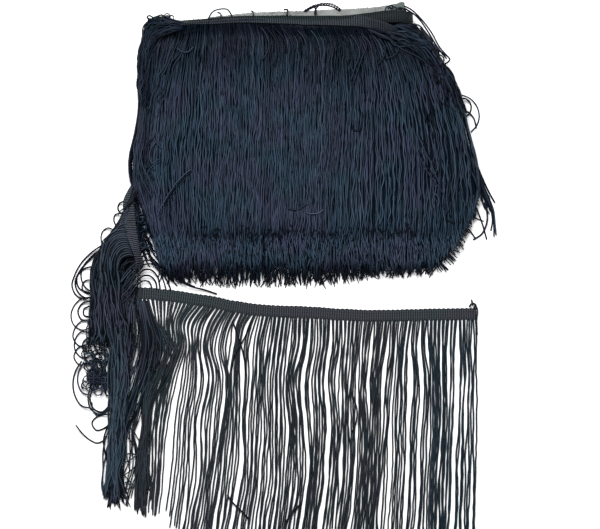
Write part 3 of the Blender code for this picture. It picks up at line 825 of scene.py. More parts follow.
def fall_layer(count, steps, low_end, high_end, lift, hook, tone, width, seed):
    """A layer of yarns from the header to ragged ends: their lines, width and tones."""
    draw = np.random.default_rng(seed)
    span = fall[-1, 0] - fall[0, 0]
    roots = fall[0, 0] + span * (np.arange(count) + draw.uniform(0.3, 0.7, count)) / count
    tracks = smooth(fall[:, 0], fall[:, 1:].T, roots).T
    hooked = hook * np.interp(roots, HOOK_X, HOOK_SHARE) * draw.uniform(0.3, 1.3, count)
    start = smooth(EDGE_X, EDGE_Y, np.clip(roots - hooked, -127.0, 117.0))
    ends = draw.uniform(low_end, high_end, count) + 3.0 * drift(count, 1, 6, 1, draw)[:, 0]
    ends = np.maximum(ends, np.interp(tracks[:, 1], REACH_X, REACH_Y) + draw.uniform(0.0, 9.0, count))
    y = start[:, None] + (ends - start)[:, None] * np.linspace(0.0, 1.0, steps) ** 1.05
    below = start[:, None] - y
    loose = np.clip(below / 30.0, 0.0, 1.0)
    x = smooth(FALL_LEVELS, tracks, y)
    x += loose * 1.2 * drift(count, steps, count / 15, steps / 5, draw)
    x += loose * 0.9 * drift(count, steps, 2.5, steps / 20, draw)
    wild = 1.0 + np.interp(roots, (60.0, 110.0), (0.0, 0.5))[:, None]
    x += loose * wild * 0.7 * drift(count, steps, 0.5, steps / 9, draw)
    x += (0.2 + 0.8 * loose) * wild * 0.55 * drift(count, steps, 0.5, steps / 32, draw)
    x -= hooked[:, None] * np.exp(-(below / 11.0) ** 2)
    left, right, _ = bundle_side(y)
    x = np.clip(x, left + 0.3, np.where(y > 80.0, right - 0.3, 180.0))
    under = np.clip(below / 8.0, 0.0, 1.0)
    z = bundle_top(x, y) + lift + 0.9 * drift(count, steps, 0.5, steps / 22, draw)
    z = z * under + (1.0 - under) * np.interp(roots, ROOT_X, ROOT_Z)[:, None]
    tips = np.clip(1.0 - (y - ends[:, None]) / 12.0, 0.0, 1.0)
    z -= tips ** 2 * 3.0
    return np.stack([x, y, z], axis=-1), width, fall_tones(tone, x, y, below, draw)


print("guides over the bundle:", len(FALL))

# %% Layers over the bundle
# each row, from the top layer in: yarns, steps, lowest and highest end, lift, hook, tone (lower for the
# deeper layers, as painted shade), width, seed
FALL_LAYERS = (
    (92, 72, 22, 37, 1.0, 8.0, 0.66, 1.3, 11),
    (112, 64, 20, 37, 0.2, 6.0, 0.54, 1.4, 12),
    (150, 36, 18, 35, -0.7, 4.0, 0.42, 1.5, 13),
    (130, 20, 15, 32, -1.7, 0.0, 0.20, 1.7, 14),
)
over = yarn_piece("bundle_yarns_over", [fall_layer(*row) for row in FALL_LAYERS], wound_yarn, 1)

# %% [markdown]
# ## The lower tier and the sides
#
# The inner turns are shorter, so their ends make a second tier below the first, painted darker as painted
# shade. Layers of short yarns stand for them. Single ends stand out along the right edge, and small black
# hooks of yarn mark the line where the long yarns end, as painted shade there. The bundle's side walls and
# back need yarns too, fewer and plainer, because they show only from low down.

# %% Lower tier
HAIR_YARN = 1.2
# how far a yarn slants inwards for each millimetre that it drops
LEAN_X = (-132, -118, -90, 178)
LEAN = (0.34, 0.20, 0.0, 0.0)


def tier_layer(count, low_end, high_end, depth, tip_depth, splay, tone, seed):
    """Short yarn ends in one layer of the lower tier; depths are shares of the bundle's height."""
    draw = np.random.default_rng(seed)
    steps = 14
    share = np.linspace(0.0, 1.0, steps)
    start = draw.uniform(60.0, 72.0, count)
    left, right, _ = bundle_side(start)
    place = (np.arange(count) + draw.uniform(0.25, 0.75, count)) / count
    hung = left + 1.0 + (right - left - 2.0) * place
    lean = np.interp(hung, LEAN_X, LEAN)
    ends = high_end - (high_end - low_end) * draw.uniform(0.0, 1.0, count) ** 1.5
    ends += 1.5 * drift(count, 1, 12, 1, draw)[:, 0] - np.interp(hung, (-100.0, 30.0, 70.0), (3.0, 2.0, 0.0))
    lowest = np.interp(hung + lean * (start - ends), REACH_X, REACH_Y)
    ends = np.maximum(ends, lowest + draw.uniform(0, 6, count))
    y = start[:, None] + (ends - start)[:, None] * share
    x = hung[:, None] + lean[:, None] * (start[:, None] - y)
    x += share * (draw.normal(0.0, 0.6, (count, 1)) + 0.7 * drift(count, steps, 6, 5, draw))
    x += 0.6 * drift(count, steps, 0.5, 2.2, draw) + share ** 6 * draw.normal(0.6, splay, (count, 1))
    full = bundle_top(hung, start)[:, None]
    z = full * (depth + (tip_depth - depth) * share ** 1.5) + 0.8 * drift(count, steps, 0.5, 3, draw)
    own = np.clip(tone * (1.0 + 0.25 * drift(count, steps, 0.5, 4, draw)), 0.0, 1.0)
    # painted shade on the tier: darker just below the line where the long yarns end over it, and darker
    # towards its bottom edge
    wavy = y + 2.5 * drift(count, 1, 7, 1, draw) + draw.normal(0.0, 1.5, (count, 1))
    own *= np.clip((36.0 - wavy) / 4.0, 0.6, 1.0) * np.clip((wavy - 0.5) / 7.5, 0.12, 1.0)
    return np.stack([x, y, np.maximum(z, 0.8)], axis=-1), THIN_YARN, own


# each row: yarns, lowest and highest end, depth at the start and at the tips, splay of the tips, tone (lower
# for the lowest layers, as painted shade)
TIER_LAYERS = (
    (150, 18, 30, 0.86, 0.78, 2.0, 1.0),
    (170, 10, 25, 0.80, 0.68, 2.0, 1.0),
    (180, 3, 17, 0.72, 0.58, 2.4, 1.0),
    (190, -5, 9, 0.62, 0.45, 2.8, 1.0),
    (220, -10, 0, 0.48, 0.28, 3.4, 0.80),
    (260, -15, -7, 0.34, 0.12, 4.4, 0.40),
    (100, -22, -11, 0.20, 0.05, 8.0, 0.30),
)
tier_groups = [tier_layer(*row, 20 + number) for number, row in enumerate(TIER_LAYERS)]
print("tier layers:", len(tier_groups))

# %% Edge hairs and hooks of painted shade
# the bundle's lower right edge: its place across at each height
RIGHT_EDGE_Y = (0, 8, 14, 23, 31, 40, 47, 62, 80)
RIGHT_EDGE_X = (136, 144, 151, 156, 160, 165, 170, 174, 177)
HOOK_LINE = 35.6


def edge_hairs(count, seed):
    """Single ends that stand out from the bundle's lower right edge."""
    draw = np.random.default_rng(seed)
    steps = 8
    share = np.linspace(0.0, 1.0, steps)
    start = draw.uniform(8.0, 66.0, count)
    _, _, thick = bundle_side(start)
    rim = np.interp(start, RIGHT_EDGE_Y, RIGHT_EDGE_X)
    out = draw.uniform(-2.0, 3.0, count)
    drop = draw.uniform(5.0, 13.0, count)
    x = (rim - 9.0)[:, None] + (8.0 + out)[:, None] * share ** draw.uniform(0.8, 1.6, (count, 1))
    y = start[:, None] - drop[:, None] * share
    z = thick[:, None] * draw.uniform(0.25, 0.8, (count, 1)) * (1.0 - 0.6 * share)
    return np.stack([x, y, np.maximum(z, 0.8)], axis=-1), HAIR_YARN, np.full((count, steps), 0.12)


def painted_shade_hooks(count, seed):
    """Small hooks of yarn along the line where the long yarns end, black as painted shade there."""
    draw = np.random.default_rng(seed)
    steps = 7
    share = np.linspace(0.0, 1.0, steps)
    start = draw.uniform(-100.0, 126.0, count)
    line = HOOK_LINE + 1.6 * np.sin(start / 9.0) + 1.3 * np.sin(start / 3.3) + 0.008 * (start - 20.0)
    line += draw.normal(0.0, 2.6, count)
    turn = draw.uniform(-2.5, 2.5, count)
    angle = draw.uniform(-2.6, -0.5, count)[:, None] + turn[:, None] * share
    stride = draw.uniform(2.5, 5.5, count)[:, None] / steps
    x = start[:, None] + stride * np.cumsum(np.cos(angle), axis=1)
    y = line[:, None] + stride * np.cumsum(np.sin(angle), axis=1)
    # tone 0: black yarn, painted shade along the ends of the long yarns
    return np.stack([x, y, bundle_top(x, y) + 1.6], axis=-1), HAIR_YARN, np.zeros((count, steps))


tier_groups.append(edge_hairs(60, 29))
tier_groups.append(painted_shade_hooks(105, 30))
tier = yarn_piece("bundle_yarns_tier", tier_groups, wound_yarn, 2)

# %% Sides and back
YARN = 1.45


def wall_lines(side, seed):
    """Yarns stacked down one side wall of the bundle: the left one for side -1, else the right."""
    draw = np.random.default_rng(seed)
    count, steps = 22, 22
    y = np.linspace(216.0, 34.0, steps)[None] + draw.uniform(-5.0, 5.0, (count, 1))
    left, right, thick = bundle_side(y)
    height = np.linspace(0.05, 0.5, count)[:, None]
    z = 0.8 + thick * height + 0.5 * drift(count, steps, 2, 4, draw)
    out = draw.uniform(-0.8, 0.4, (count, 1)) + 0.5 * drift(count, steps, 2, 4, draw)
    x = left + 0.6 - out if side < 0 else right - 0.6 + out
    return np.stack([x, y, z], axis=-1)


def back_lines(seed):
    """Yarns across the underside, resting on the table."""
    draw = np.random.default_rng(seed)
    count, steps = 150, 14
    place = (np.arange(count) + 0.5) / count
    y = np.linspace(216.0, 0.0, steps)[None] + draw.uniform(-7.0, 5.0, (count, 1))
    left, right, _ = bundle_side(y)
    x = left + 1.0 + (right - left - 2.0) * place[:, None] + drift(count, steps, 4, 4, draw)
    return np.stack([x, y, np.full_like(x, 0.8)], axis=-1)


# yarns down the left wall, where the bundle shows between itself and the fall beside it; they are near
# black, as painted shade in that slit
INNER_WALL = (
    ((-139.0, 84, 12), (-134.5, 68, 9), (-131, 53, 7), (-128.5, 38.5, 5), (-123.5, 22.5, 4),
     (-116, 7.5, 3), (-108, -5, 2)),
    ((-139.0, 80, 12), (-135.5, 65, 9), (-132, 49.5, 7), (-131, 33, 5), (-128, 18.5, 4),
     (-123.5, 7.5, 3), (-117, -1.5, 2)),
    ((-138.5, 76, 12), (-136, 61, 8.5), (-133.5, 48, 6), (-132.5, 35, 4.5), (-131.5, 22.5, 3),
     (-129, 11.5, 2)),
)
walls = yarn_piece("bundle_yarns_walls", [
    (wall_lines(-1, 31), YARN, 0.3),
    (wall_lines(1, 32), YARN, 0.3),
    (back_lines(33), YARN, 0.3),
    (lay(INNER_WALL, 8, 24, 1.2, 0.7, np.random.default_rng(34), 0.3), YARN, 0.05),
], wound_yarn, 3)

# %% [markdown]
# ## Yarns drawn across the corners
#
# At the top left a hank of yarns is swept across the corner before it falls, and at the top right several
# curl over the others. These are laid between listed guides, each point its place in plan and its height.
# Single yarns lie loose on top of all: hooks in the middle, a swirl of dark and light ones at the left, and
# long slanting or short crossing ones at both sides; the black ones are painted shadows beside the light
# ones and painted shade in the hollows. Each has its own points in plan, and takes its height from the
# bundle's upper face.

# %% Corner hanks
LEFT_SWEEP = (
    ((-88, 223.4, 25), (-94, 224.9, 31), (-101.4, 226.6, 33), (-111.4, 228, 32), (-120.5, 225.4, 29),
     (-126, 217.4, 27), (-129.2, 203.9, 25.5), (-130.6, 188.6, 24), (-131.1, 170.6, 23)),
    ((-90, 220.5, 25), (-94.6, 221.2, 31.5), (-101.4, 221.6, 34), (-112.2, 220.7, 33),
     (-120.5, 215.4, 30.5), (-125, 204.7, 29), (-127.8, 190.3, 28), (-128.3, 172.2, 27),
     (-127.9, 152.4, 25)),
    ((-92, 217.4, 25), (-95.5, 216.4, 31), (-101.5, 214.0, 33), (-109.6, 210.8, 32.5),
     (-117.7, 202.7, 31.5), (-122.3, 190.1, 30.5), (-124.5, 173.9, 29.5), (-125, 157.7, 28.5),
     (-124.6, 143.3, 27)),
)
LEFT_SLANT = (
    ((-100.7, 208.5, 25), (-105.1, 197.4, 30), (-110.5, 182.9, 31.3), (-115.9, 168.5, 30.8),
     (-120.5, 154.1, 29.5), (-123.2, 141.5, 28)),
    ((-88.1, 208.4, 26), (-93.4, 195.6, 30.5), (-99.6, 179.3, 31.6), (-106, 161.2, 31.3),
     (-112.3, 143.2, 30.4), (-116, 127, 29)),
)
RIGHT_SWEEP = (
    ((72, 219, 27.0), (84, 214, 31.0), (96, 209, 32.5), (108, 203, 33), (120, 195, 31.5), (130, 184, 29.5),
     (139, 166, 28.5), (146, 146, 27)),
    ((84, 217, 26), (100, 213, 31), (114, 208, 31.5), (127, 200, 29.5), (137, 190, 27), (146, 177, 25),
     (154, 160, 24), (159, 142, 23)),
    ((96, 215, 24), (108, 215, 28.5), (118, 213.5, 27.5), (127, 209, 24.5), (133, 202, 22), (136, 192, 20),
     (148, 176, 19), (157, 160, 17), (163, 142, 17)),
)
RIGHT_TOP = (
    ((98, 221, 27), (106, 218.5, 29), (115, 214, 28.4), (124, 205, 25.5), (133, 192, 23), (143, 176, 20),
     (152, 160, 18)),
    ((104, 224, 26), (112, 221, 27), (121, 214, 24), (128, 204, 21), (137, 190, 18), (147, 174, 15),
     (156, 158, 13)),
    ((111, 225, 24), (117, 222, 23.5), (123, 215, 20), (129, 206, 17), (136, 194, 14), (146, 178, 11),
     (157, 160, 9)),
)
CURL_HEIGHTS = (30.5, 31.0, 32.5, 32.8, 32.4)
# curls that leave the header, seen in plan
CURLS = (
    ((78, 216), (88, 212), (98, 207), (103, 200), (100, 195), (91, 191)),
    ((80, 219), (92, 215), (105, 206), (120, 197), (132, 186)),
    ((85, 210), (91, 201), (89, 192), (84, 186)),
    ((70, 212), (74, 203), (70, 192), (66, 180), (62, 168)),
    ((60, 213), (66, 204), (68, 196), (64, 184), (60, 172)),
    ((50, 214), (57, 206), (60, 197), (57, 185)),
    ((-22, 221), (-17, 214), (-14, 205), (-16, 196), (-21, 190)),
    ((-16, 220), (-11, 213), (-7, 205), (-7, 195), (-9, 184)),
    ((-9, 219), (-3, 213), (1, 205), (2, 196)),
    ((-3, 219), (3, 213), (7, 204), (8, 192), (7, 182)),
    ((12, 217), (17, 211), (20, 203), (21, 192)),
    ((24, 217), (29, 210), (32, 201), (33, 188)),
    ((-97, 201), (-92, 197.5), (-87, 197.5), (-82, 202)),
)
RESTING_LIFT = 1.7
# each row: how light the yarn is and how wide, then its points in plan; the black rows of lightness 0.0 are
# painted shadows laid beside light yarns and painted shade in hollows
RESTING_AND_SHADOWS = (
    (0.0, 1.5, (70.5, 143.0), (70.0, 133.3), (69.4, 127.6), (65.0, 126.2), (62.2, 127.7), (61.4, 131.5)),
    (0.75, 1.5, (3.0, 56.5), (8.0, 55.3), (11.5, 55.2), (15.9, 57.6), (20.5, 60.6)),
    (0.75, 1.5, (20.0, 52.4), (24.0, 51.5), (28.5, 51.7), (32.0, 52.6), (35.0, 55.2)),
    (0.0, 2.2, (-119.6, 119.2), (-124.6, 110.1), (-125.9, 99.8), (-124.1, 92.1)),
    (0.0, 2.2, (-116.9, 115.3), (-120.1, 106.3), (-121.4, 98.6), (-118.1, 93.5)),
    (0.0, 2.2, (-122.6, 102.6), (-122.0, 89.5), (-118.1, 81.8)),
    (0.0, 1.8, (-124.6, 120.6), (-128.6, 111.6), (-129.1, 102.6), (-127.7, 94.4)),
    (0.0, 1.8, (-122.5, 112.5), (-123.6, 104.4), (-121.4, 94.4), (-116.0, 89.9)),
    (0.55, 1.3, (-113.0, 98.6), (-118.1, 95.3), (-122.6, 90.8), (-124.6, 81.8)),
    (0.5, 1.3, (-113.6, 101.1), (-118.8, 97.2), (-122.0, 102.6), (-120.7, 110.1), (-116.2, 116.6)),
    (0.45, 1.3, (-127.2, 115.3), (-129.8, 105.0), (-127.8, 93.5), (-122.0, 81.8), (-118.1, 70.1)),
    (0.5, 1.3, (-119.6, 122.4), (-116.2, 116.6), (-110.5, 110.1)),
    (0.4, 1.3, (-131.7, 115.3), (-132.9, 102.6), (-131.7, 90.8), (-127.0, 79.2), (-119.6, 66.4)),
    (0.42, 1.1, (-84.4, 91.3), (-88.5, 88.6), (-93.2, 84.0), (-98.3, 78.6), (-102.4, 72.3), (-106.1, 66.9),
     (-109.0, 61.5), (-112.6, 56.0), (-114.8, 48.8)),
    (0.0, 1.1, (-84.0, 89.6), (-92.0, 82.4), (-99.0, 74.4), (-105.5, 64.4), (-111.4, 54.2)),
    (0.34, 1.1, (-89.5, 83.4), (-96.8, 74.6), (-104.4, 62.9), (-110.0, 54.9), (-113.4, 45.6)),
    (0.0, 2.0, (128.8, 142.3), (127.5, 137.8), (129.3, 133.3), (131.5, 130.6)),
    (0.0, 1.8, (131.1, 144.1), (130.6, 138.7), (132.5, 134.2)),
    (0.0, 1.4, (130.4, 156.3), (132.5, 146.8), (133.8, 136.0), (134.7, 125.2), (134.9, 115.2)),
    (0.5, 1.2, (120.3, 123.6), (123.4, 116.1), (127.0, 108.0), (131.5, 99.0), (135.2, 89.9), (140.6, 77.3)),
    (0.0, 1.2, (121.0, 125.0), (125.2, 116.6), (129.5, 107.5), (134.0, 97.6), (137.9, 88.1)),
    (0.45, 1.2, (120.3, 106.6), (123.4, 99.9), (127.0, 93.1), (131.5, 85.9), (136.1, 79.5), (145.1, 68.2)),
    (0.0, 1.2, (121.2, 108.6), (126.1, 99.4), (130.6, 91.7), (137.0, 82.7)),
    (0.45, 1.2, (135.5, 55.8), (133.8, 62.8), (136.6, 69.3), (139.5, 64.8), (138.9, 57.0)),
    (0.0, 2.0, (142.8, 59.2), (146.0, 56.1), (148.7, 52.0), (151.9, 49.3)),
    (0.0, 1.8, (146.0, 60.6), (146.9, 55.1), (146.0, 50.2)),
    (0.0, 1.8, (146.2, 46.6), (150.5, 43.9), (154.1, 44.8)),
    (0.0, 1.5, (169.5, 89.0), (172.2, 82.7), (174.9, 75.5)),
)
print("curls:", len(CURLS), "resting yarns:", len(RESTING_AND_SHADOWS))

# %% Corner yarns
# how many rings, their middle and reach, least and largest radius, highest and lowest place
CORNER_NEST = (9, (-108.0, 226.5), (6.0, 2.0), (1.4, 2.6), 33.0, 30.5)
draw = np.random.default_rng(40)
# in each hank the second, lower layer is near black: painted shade under the yarns over it
corner_groups = [
    streaked(lay(LEFT_SWEEP, 24, 52, 2.6, 0.06, draw, 0.1, 1.1), 0.30, 0.05, YARN),
    (lay(LEFT_SWEEP, 32, 36, 2.8, 0.16, draw, 0.1, 0.8), YARN, 0.04),
    (lay(LEFT_SLANT, 6, 48, 2.0, 0.03, draw, 0.4, 0.3), HAIR_YARN, 0.30),
    (lay(RIGHT_SWEEP, 13, 48, 4.0, 0.05, draw, 0.4, 1.0), YARN, 0.26),
    (lay(RIGHT_SWEEP, 36, 34, 3.2, 0.16, draw, 0.2, 0.8), YARN, 0.04),
    streaked(lay(RIGHT_TOP, 16, 40, 2.0, 0.05, draw, 0.5, 0.8), 0.30, 0.06, YARN),
    (lay(RIGHT_TOP, 20, 30, 1.6, 0.15, draw, 0.4, 0.8), YARN, 0.04),
]
for curl in CURLS:
    corner_groups.append((thread(curl, CURL_HEIGHTS), YARN, 0.3))
for light, width, *points in RESTING_AND_SHADOWS:
    spots = np.array(points)
    heights = bundle_top(spots[:, 0], spots[:, 1]) + RESTING_LIFT + light
    corner_groups.append((thread(points, heights), width, light))
corner_groups.append((nest_rings(*CORNER_NEST, draw), YARN, 0.05))
corners = yarn_piece("bundle_yarns_corners", corner_groups, wound_yarn, 4)

# %% [markdown]
# ## The card
#
# The card is a piece of grey board two millimetres thick. Only its top edge shows above the tape: torn,
# not cut, with fibres standing out and one corner bent up. So a fine grid is pulled to the edge's line,
# its border is made a little ragged, and a Solidify modifier gives it its thickness.

# %% Card
CARD_EDGE = (
    (-68.4, 229.6), (-46.6, 232.1), (-31.2, 233.9), (-13.1, 234.6), (5, 235.2), (25, 235.7),
    (41.3, 236.5), (59.4, 237.2), (77.5, 238.5), (91.1, 239.9), (98.4, 241.2), (105.6, 243.4),
    (108.8, 242.8),
)
CARD_COLUMNS = 240
CARD_ROWS = 10
CARD_DOWN = 88.0
CARD_SLANT = 0.073
CARD_Z = 16.5
CARD_THICK = 2.0


def build_card():
    """A ragged-edged board: the top edge follows its table, the rest is plain and straight."""
    draw = np.random.default_rng(45)
    board, share = flat_grid("card_board", CARD_COLUMNS, CARD_ROWS)
    edge = np.array(CARD_EDGE)
    x = edge[0, 0] + (edge[-1, 0] - edge[0, 0]) * share[:, 0]
    column = np.round(share[:, 0] * CARD_COLUMNS).astype(int)
    ragged = draw.uniform(-0.5, 0.35, CARD_COLUMNS + 1)[column] * (share[:, 1] > 0.99)
    down = (1.0 - share[:, 1]) ** 1.6 * CARD_DOWN
    y = np.interp(x, edge[:, 0], edge[:, 1]) - down + ragged
    bent = np.clip((x - 92.0) / 16.0, 0.0, 1.0) ** 2 * np.clip(1.0 - down / 14.0, 0.0, 1.0)
    z = CARD_Z + bent * 3.0
    board.data.vertices.foreach_set("co", (np.stack([x + down * CARD_SLANT, y, z], axis=1) * MM).ravel())
    board.data.update()
    thicken(board, CARD_THICK)
    board.data.materials.append(grey_board)
    return board


card_board = build_card()
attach(card_board, "root")
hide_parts("card_core")
print("card faces:", len(card_board.data.polygons))

# %% [markdown]
# ## The coiled header
#
# The tape goes round the card in a flat spiral, turn upon turn, on edge along the top of the bundle.
# Twenty turns of ribs would be far too many faces, so the coil is a plain strip whose ribs come from
# its map, and only the outermost turn, which lies open to view, has its ribs modelled.

# %% Coiled tape
TURNS = 20
TURN_STEPS = 44
# the outermost and the innermost turn: left end, right end and height of the ring
COIL_OUT = (-98.0, 116.4, 29.6)
COIL_IN = (-79.5, 112.4, 4.6)
COIL_MID_Z = 16.5
COIL_X = (-98, -50, 14, 60, 78, 100, 110, 117)
COIL_Y = (219.6, 223.8, 224.6, 225.3, 227.4, 229.8, 229.0, 227.0)
COIL_TALL = (0.74, 0.76, 1.0, 1.0, 1.0, 1.0, 1.0, 1.0)


def flat_turn(left, right, tall, angle):
    """A point on a flattened ring at an angle, as x and z from the ring's middle height."""
    radius = tall / 2.0
    straight = (right - left) - tall
    whole = 2.0 * straight + math.tau * radius
    walked = (angle / math.tau % 1.0) * whole
    if walked < straight:
        return left + radius + walked, radius
    walked -= straight
    if walked < math.pi * radius:
        bend = walked / radius
        return right - radius + radius * math.sin(bend), radius * math.cos(bend)
    walked -= math.pi * radius
    if walked < straight:
        return right - radius - walked, -radius
    bend = (walked - straight) / radius
    return left + radius - radius * math.sin(bend), -radius * math.cos(bend)


def coil_line(turns, per_turn):
    """The spiral from the innermost turn out; its height in plan follows a table."""
    draw = np.random.default_rng(50)
    points = []
    for step in range(turns * per_turn + 1):
        share = step / (turns * per_turn)
        left, right, tall = [a + (b - a) * share for a, b in zip(COIL_IN, COIL_OUT)]
        x, z = flat_turn(left, right, tall, step / per_turn * math.tau)
        y = float(smooth(COIL_X, COIL_Y, np.array([x]))[0])
        y += 0.4 * math.sin(5.7 * step / per_turn + x * 0.02)
        z *= float(smooth(COIL_X, COIL_TALL, np.array([x]))[0])
        points.append((x, y + draw.uniform(-0.12, 0.12), z + COIL_MID_Z))
    return np.array(points)


coil = coil_line(TURNS, TURN_STEPS)
coil_across = np.tile((0.0, -1.0, 0.0), (len(coil), 1))
coiled, coil_length = tape_sheet("header_coil", coil, coil_across, 0.5, False, coil_dark, 51)
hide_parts("header_turns")
coil_length * MM

# %% Outermost turn
# each row: x, y, height and slope in degrees of the tape's middle
OUTER = (
    (-100.0, 222.8, 17.0, -40), (-98.8, 223.4, 24.0, -60), (-90.0, 224.2, 28.4, -67),
    (-69.0, 225.2, 29.0, -62), (-49.0, 226.4, 29.6, -56), (-31.0, 227.0, 30.2, -54),
    (-13.0, 226.8, 30.8, -48), (5.0, 226.2, 31.2, -43), (25.0, 225.6, 31.4, -40),
    (55.0, 225.4, 31.8, -30), (68.0, 225.2, 32.0, 0), (78.0, 223.2, 31.8, 30),
    (88.0, 220.8, 31.0, 36), (96.0, 217.9, 28.5, 34), (102.0, 215.4, 24.0, 30), (107.0, 213.2, 17.0, 26),
)
OUTER_STEPS = 120


def outer_line():
    """The outermost turn: flat along the middle, sliding down the shoulder at the right."""
    table = np.array(OUTER)
    at = np.linspace(0.0, len(table) - 1.0, OUTER_STEPS)
    x, y, z, slope = [smooth(np.arange(len(table)), table[:, column], at) for column in range(4)]
    slope = np.radians(slope)
    across = np.stack([np.zeros_like(slope), -np.cos(slope), -np.sin(slope)], axis=1)
    return np.stack([x, y, z], axis=1), across


outer_middle, outer_across = outer_line()
outer, outer_length = tape_sheet("header_outer_turn", outer_middle, outer_across, 0.7, True, wound_grey, 52)
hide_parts("header_turns")
outer_length * MM

# %% [markdown]
# ## The run laid out in front
#
# Here the tape lies flat on the table, and each yarn can be followed by eye. The yarns gather in locks
# with white partings between them. So the partings are what the table holds: where each one starts on
# the tape, and its place and width at six heights. The yarns share out the room between two partings.

# %% Front tape
RUN_LINE = ((-139.4, -20.8), (-122, -21.2), (-106, -22.4), (-91, -24.5), (-71, -27.6), (-41, -33.6),
            (-15, -36.4), (20, -38), (60, -40.5), (105, -40.5), (132, -40.2), (174.3, -39.5))
TAPE_STEPS = 160
TAPE_HEIGHT = 0.75
run_flat = through(RUN_LINE, TAPE_STEPS)
run_middle = np.concatenate([run_flat, np.full((TAPE_STEPS, 1), TAPE_HEIGHT)], axis=1)
run_way = np.gradient(run_flat, axis=0)
run_across = np.stack([run_way[:, 1], -run_way[:, 0], np.zeros(TAPE_STEPS)], axis=1)
front_tape, run_length = tape_sheet("front_tape", run_middle, run_across, 0.9, True, front_grey, 60)
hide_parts("front_run")

# %% Partings of the run
RUN_LEVELS = (-236, -186, -136, -95, -68, -47)
# each row: the root, then (place, gap) at each level from the highest down
PARTINGS = (
    (-138.5, (-132.0, 0), (-126.0, 0), (-130.5, 0), (-129.5, 0), (-135.5, 0), (-137.0, 0)),
    (-118.0, (-115.3, 0), (-115.0, 0), (-124.5, 0), (-126.5, 0), (-131.5, 0), (-134.0, 0)),
    (-100.0, (-104.6, 0), (-104.0, 0), (-117.0, 0), (-127.0, 0.9), (-127.5, 0.9), (-129.5, 0)),
    (-90.0, (-99.0, 0), (-98.0, 0), (-109.0, 0.9), (-118.0, 0.9), (-121.0, 0.9), (-124.5, 0.9)),
    (-79.0, (-93.0, 1.4), (-91.5, 0), (-97.2, 4.4), (-105.6, 8.4), (-110.0, 9.0), (-115.5, 6.0)),
    (-63.0, (-72.5, 1.8), (-77.0, 0.9), (-73.0, 2.7), (-80.5, 0.9), (-82.0, 2.7), (-90.5, 1.8)),
    (-53.0, (-61.5, 0), (-68.5, 0), (-62.5, 0), (-68.0, 2.7), (-72.5, 0.9), (-80.5, 1.8)),
    (-48.0, (-55.0, 0), (-62.5, 0), (-56.0, 2.7), (-61.5, 2.7), (-68.0, 1.8), (-76.0, 0)),
    (-39.5, (-45.0, 1.8), (-48.5, 3.6), (-51.5, 0.9), (-56.0, 0), (-61.5, 0), (-68.0, 1.8)),
    (-28.5, (-35.0, 1.8), (-41.5, 2.7), (-41.0, 3.6), (-43.0, 0.9), (-46.0, 4.6), (-55.0, 2.7)),
    (-22.5, (-25.0, 1.8), (-32.5, 2.7), (-32.5, 2.7), (-38.0, 2.7), (-40.5, 0.9), (-47.0, 2.7)),
    (-11.5, (-15.0, 2.7), (-19.5, 2.7), (-21.5, 0), (-24.0, 0.9), (-28.5, 2.7), (-34.0, 2.7)),
    (6.0, (4.0, 0.9), (1.5, 2.7), (-1.0, 0.9), (-2.0, 2.7), (-7.0, 0.9), (-12.5, 0)),
    (22.5, (21.5, 0.9), (19.5, 2.7), (16.5, 3.6), (15.0, 2.7), (14.5, 3.6), (8.5, 3.6)),
    (29.5, (28.0, 0.9), (26.0, 1.8), (24.0, 2.7), (21.0, 2.7), (17.5, 0), (14.0, 1.8)),
    (41.5, (40.5, 0.9), (39.5, 1.8), (38.5, 2.7), (35.5, 3.6), (31.0, 3.6), (25.0, 2.7)),
    (51.5, (50.5, 0), (49.5, 0.9), (48.0, 3.6), (46.0, 0), (41.5, 0), (38.0, 1.8)),
    (69.5, (68.0, 0.9), (66.0, 0.9), (67.0, 2.7), (64.5, 2.7), (58.0, 2.7), (50.5, 3.6)),
    (80.5, (79.0, 1.8), (76.5, 3.6), (75.0, 4.6), (72.5, 1.8), (68.0, 0), (62.5, 1.8)),
    (97.0, (94.0, 0.9), (91.5, 2.7), (87.0, 5.5), (84.0, 2.7), (78.5, 0), (74.0, 1.8)),
    (104.0, (101.5, 0), (98.5, 0.9), (94.0, 2.7), (93.5, 2.7), (90.0, 3.6), (86.0, 2.7)),
    (117.0, (115.0, 0), (112.5, 1.8), (111.0, 5.5), (110.5, 5.5), (108.5, 2.7), (106.0, 2.7)),
    (124.0, (123.5, 0.9), (122.5, 2.7), (120.0, 3.6), (120.0, 3.6), (119.5, 2.7), (117.0, 1.8)),
    (130.5, (129.0, 1.8), (127.0, 2.7), (128.0, 0.9), (131.5, 2.7), (128.0, 1.8), (128.0, 2.7)),
    (150.5, (149.0, 0.9), (147.5, 1.8), (146.0, 1.8), (144.5, 0.9), (143.0, 0.9), (142.5, 0.9)),
    (157.0, (155.0, 2.7), (154.0, 3.6), (152.0, 3.6), (149.5, 3.6), (148.0, 2.7), (147.5, 3.6)),
    (170.5, (169.5, 2.7), (169.5, 1.8), (169.0, 0), (169.0, 0.9), (171.0, 1.8), (169.5, 3.6)),
    (174.5, (175.5, 0), (176.5, 0), (176.0, 0), (175.5, 0), (174.5, 0), (173.5, 0)),
)


def parting_cells():
    """The partings' roots, and their places and gaps with those at the right spread more evenly."""
    parted = np.array([row[0] for row in PARTINGS])
    cells = np.array([row[1:] for row in PARTINGS], float)
    between = (cells[1:, :, 1] + cells[:-1, :, 1]) / 2.0
    free = cells[-1, :, 0] - cells[0, :, 0] - between.sum(axis=0)
    steady = np.diff(parted)[:, None] / (parted[-1] - parted[0]) * free + between
    even = np.interp(parted[1:], (-60.0, 20.0), (0.1, 0.5))[:, None]
    cells[1:, :, 0] += even * (cells[0, :, 0] + np.cumsum(steady, axis=0) - cells[1:, :, 0])
    return parted, cells


print("partings:", len(PARTINGS))

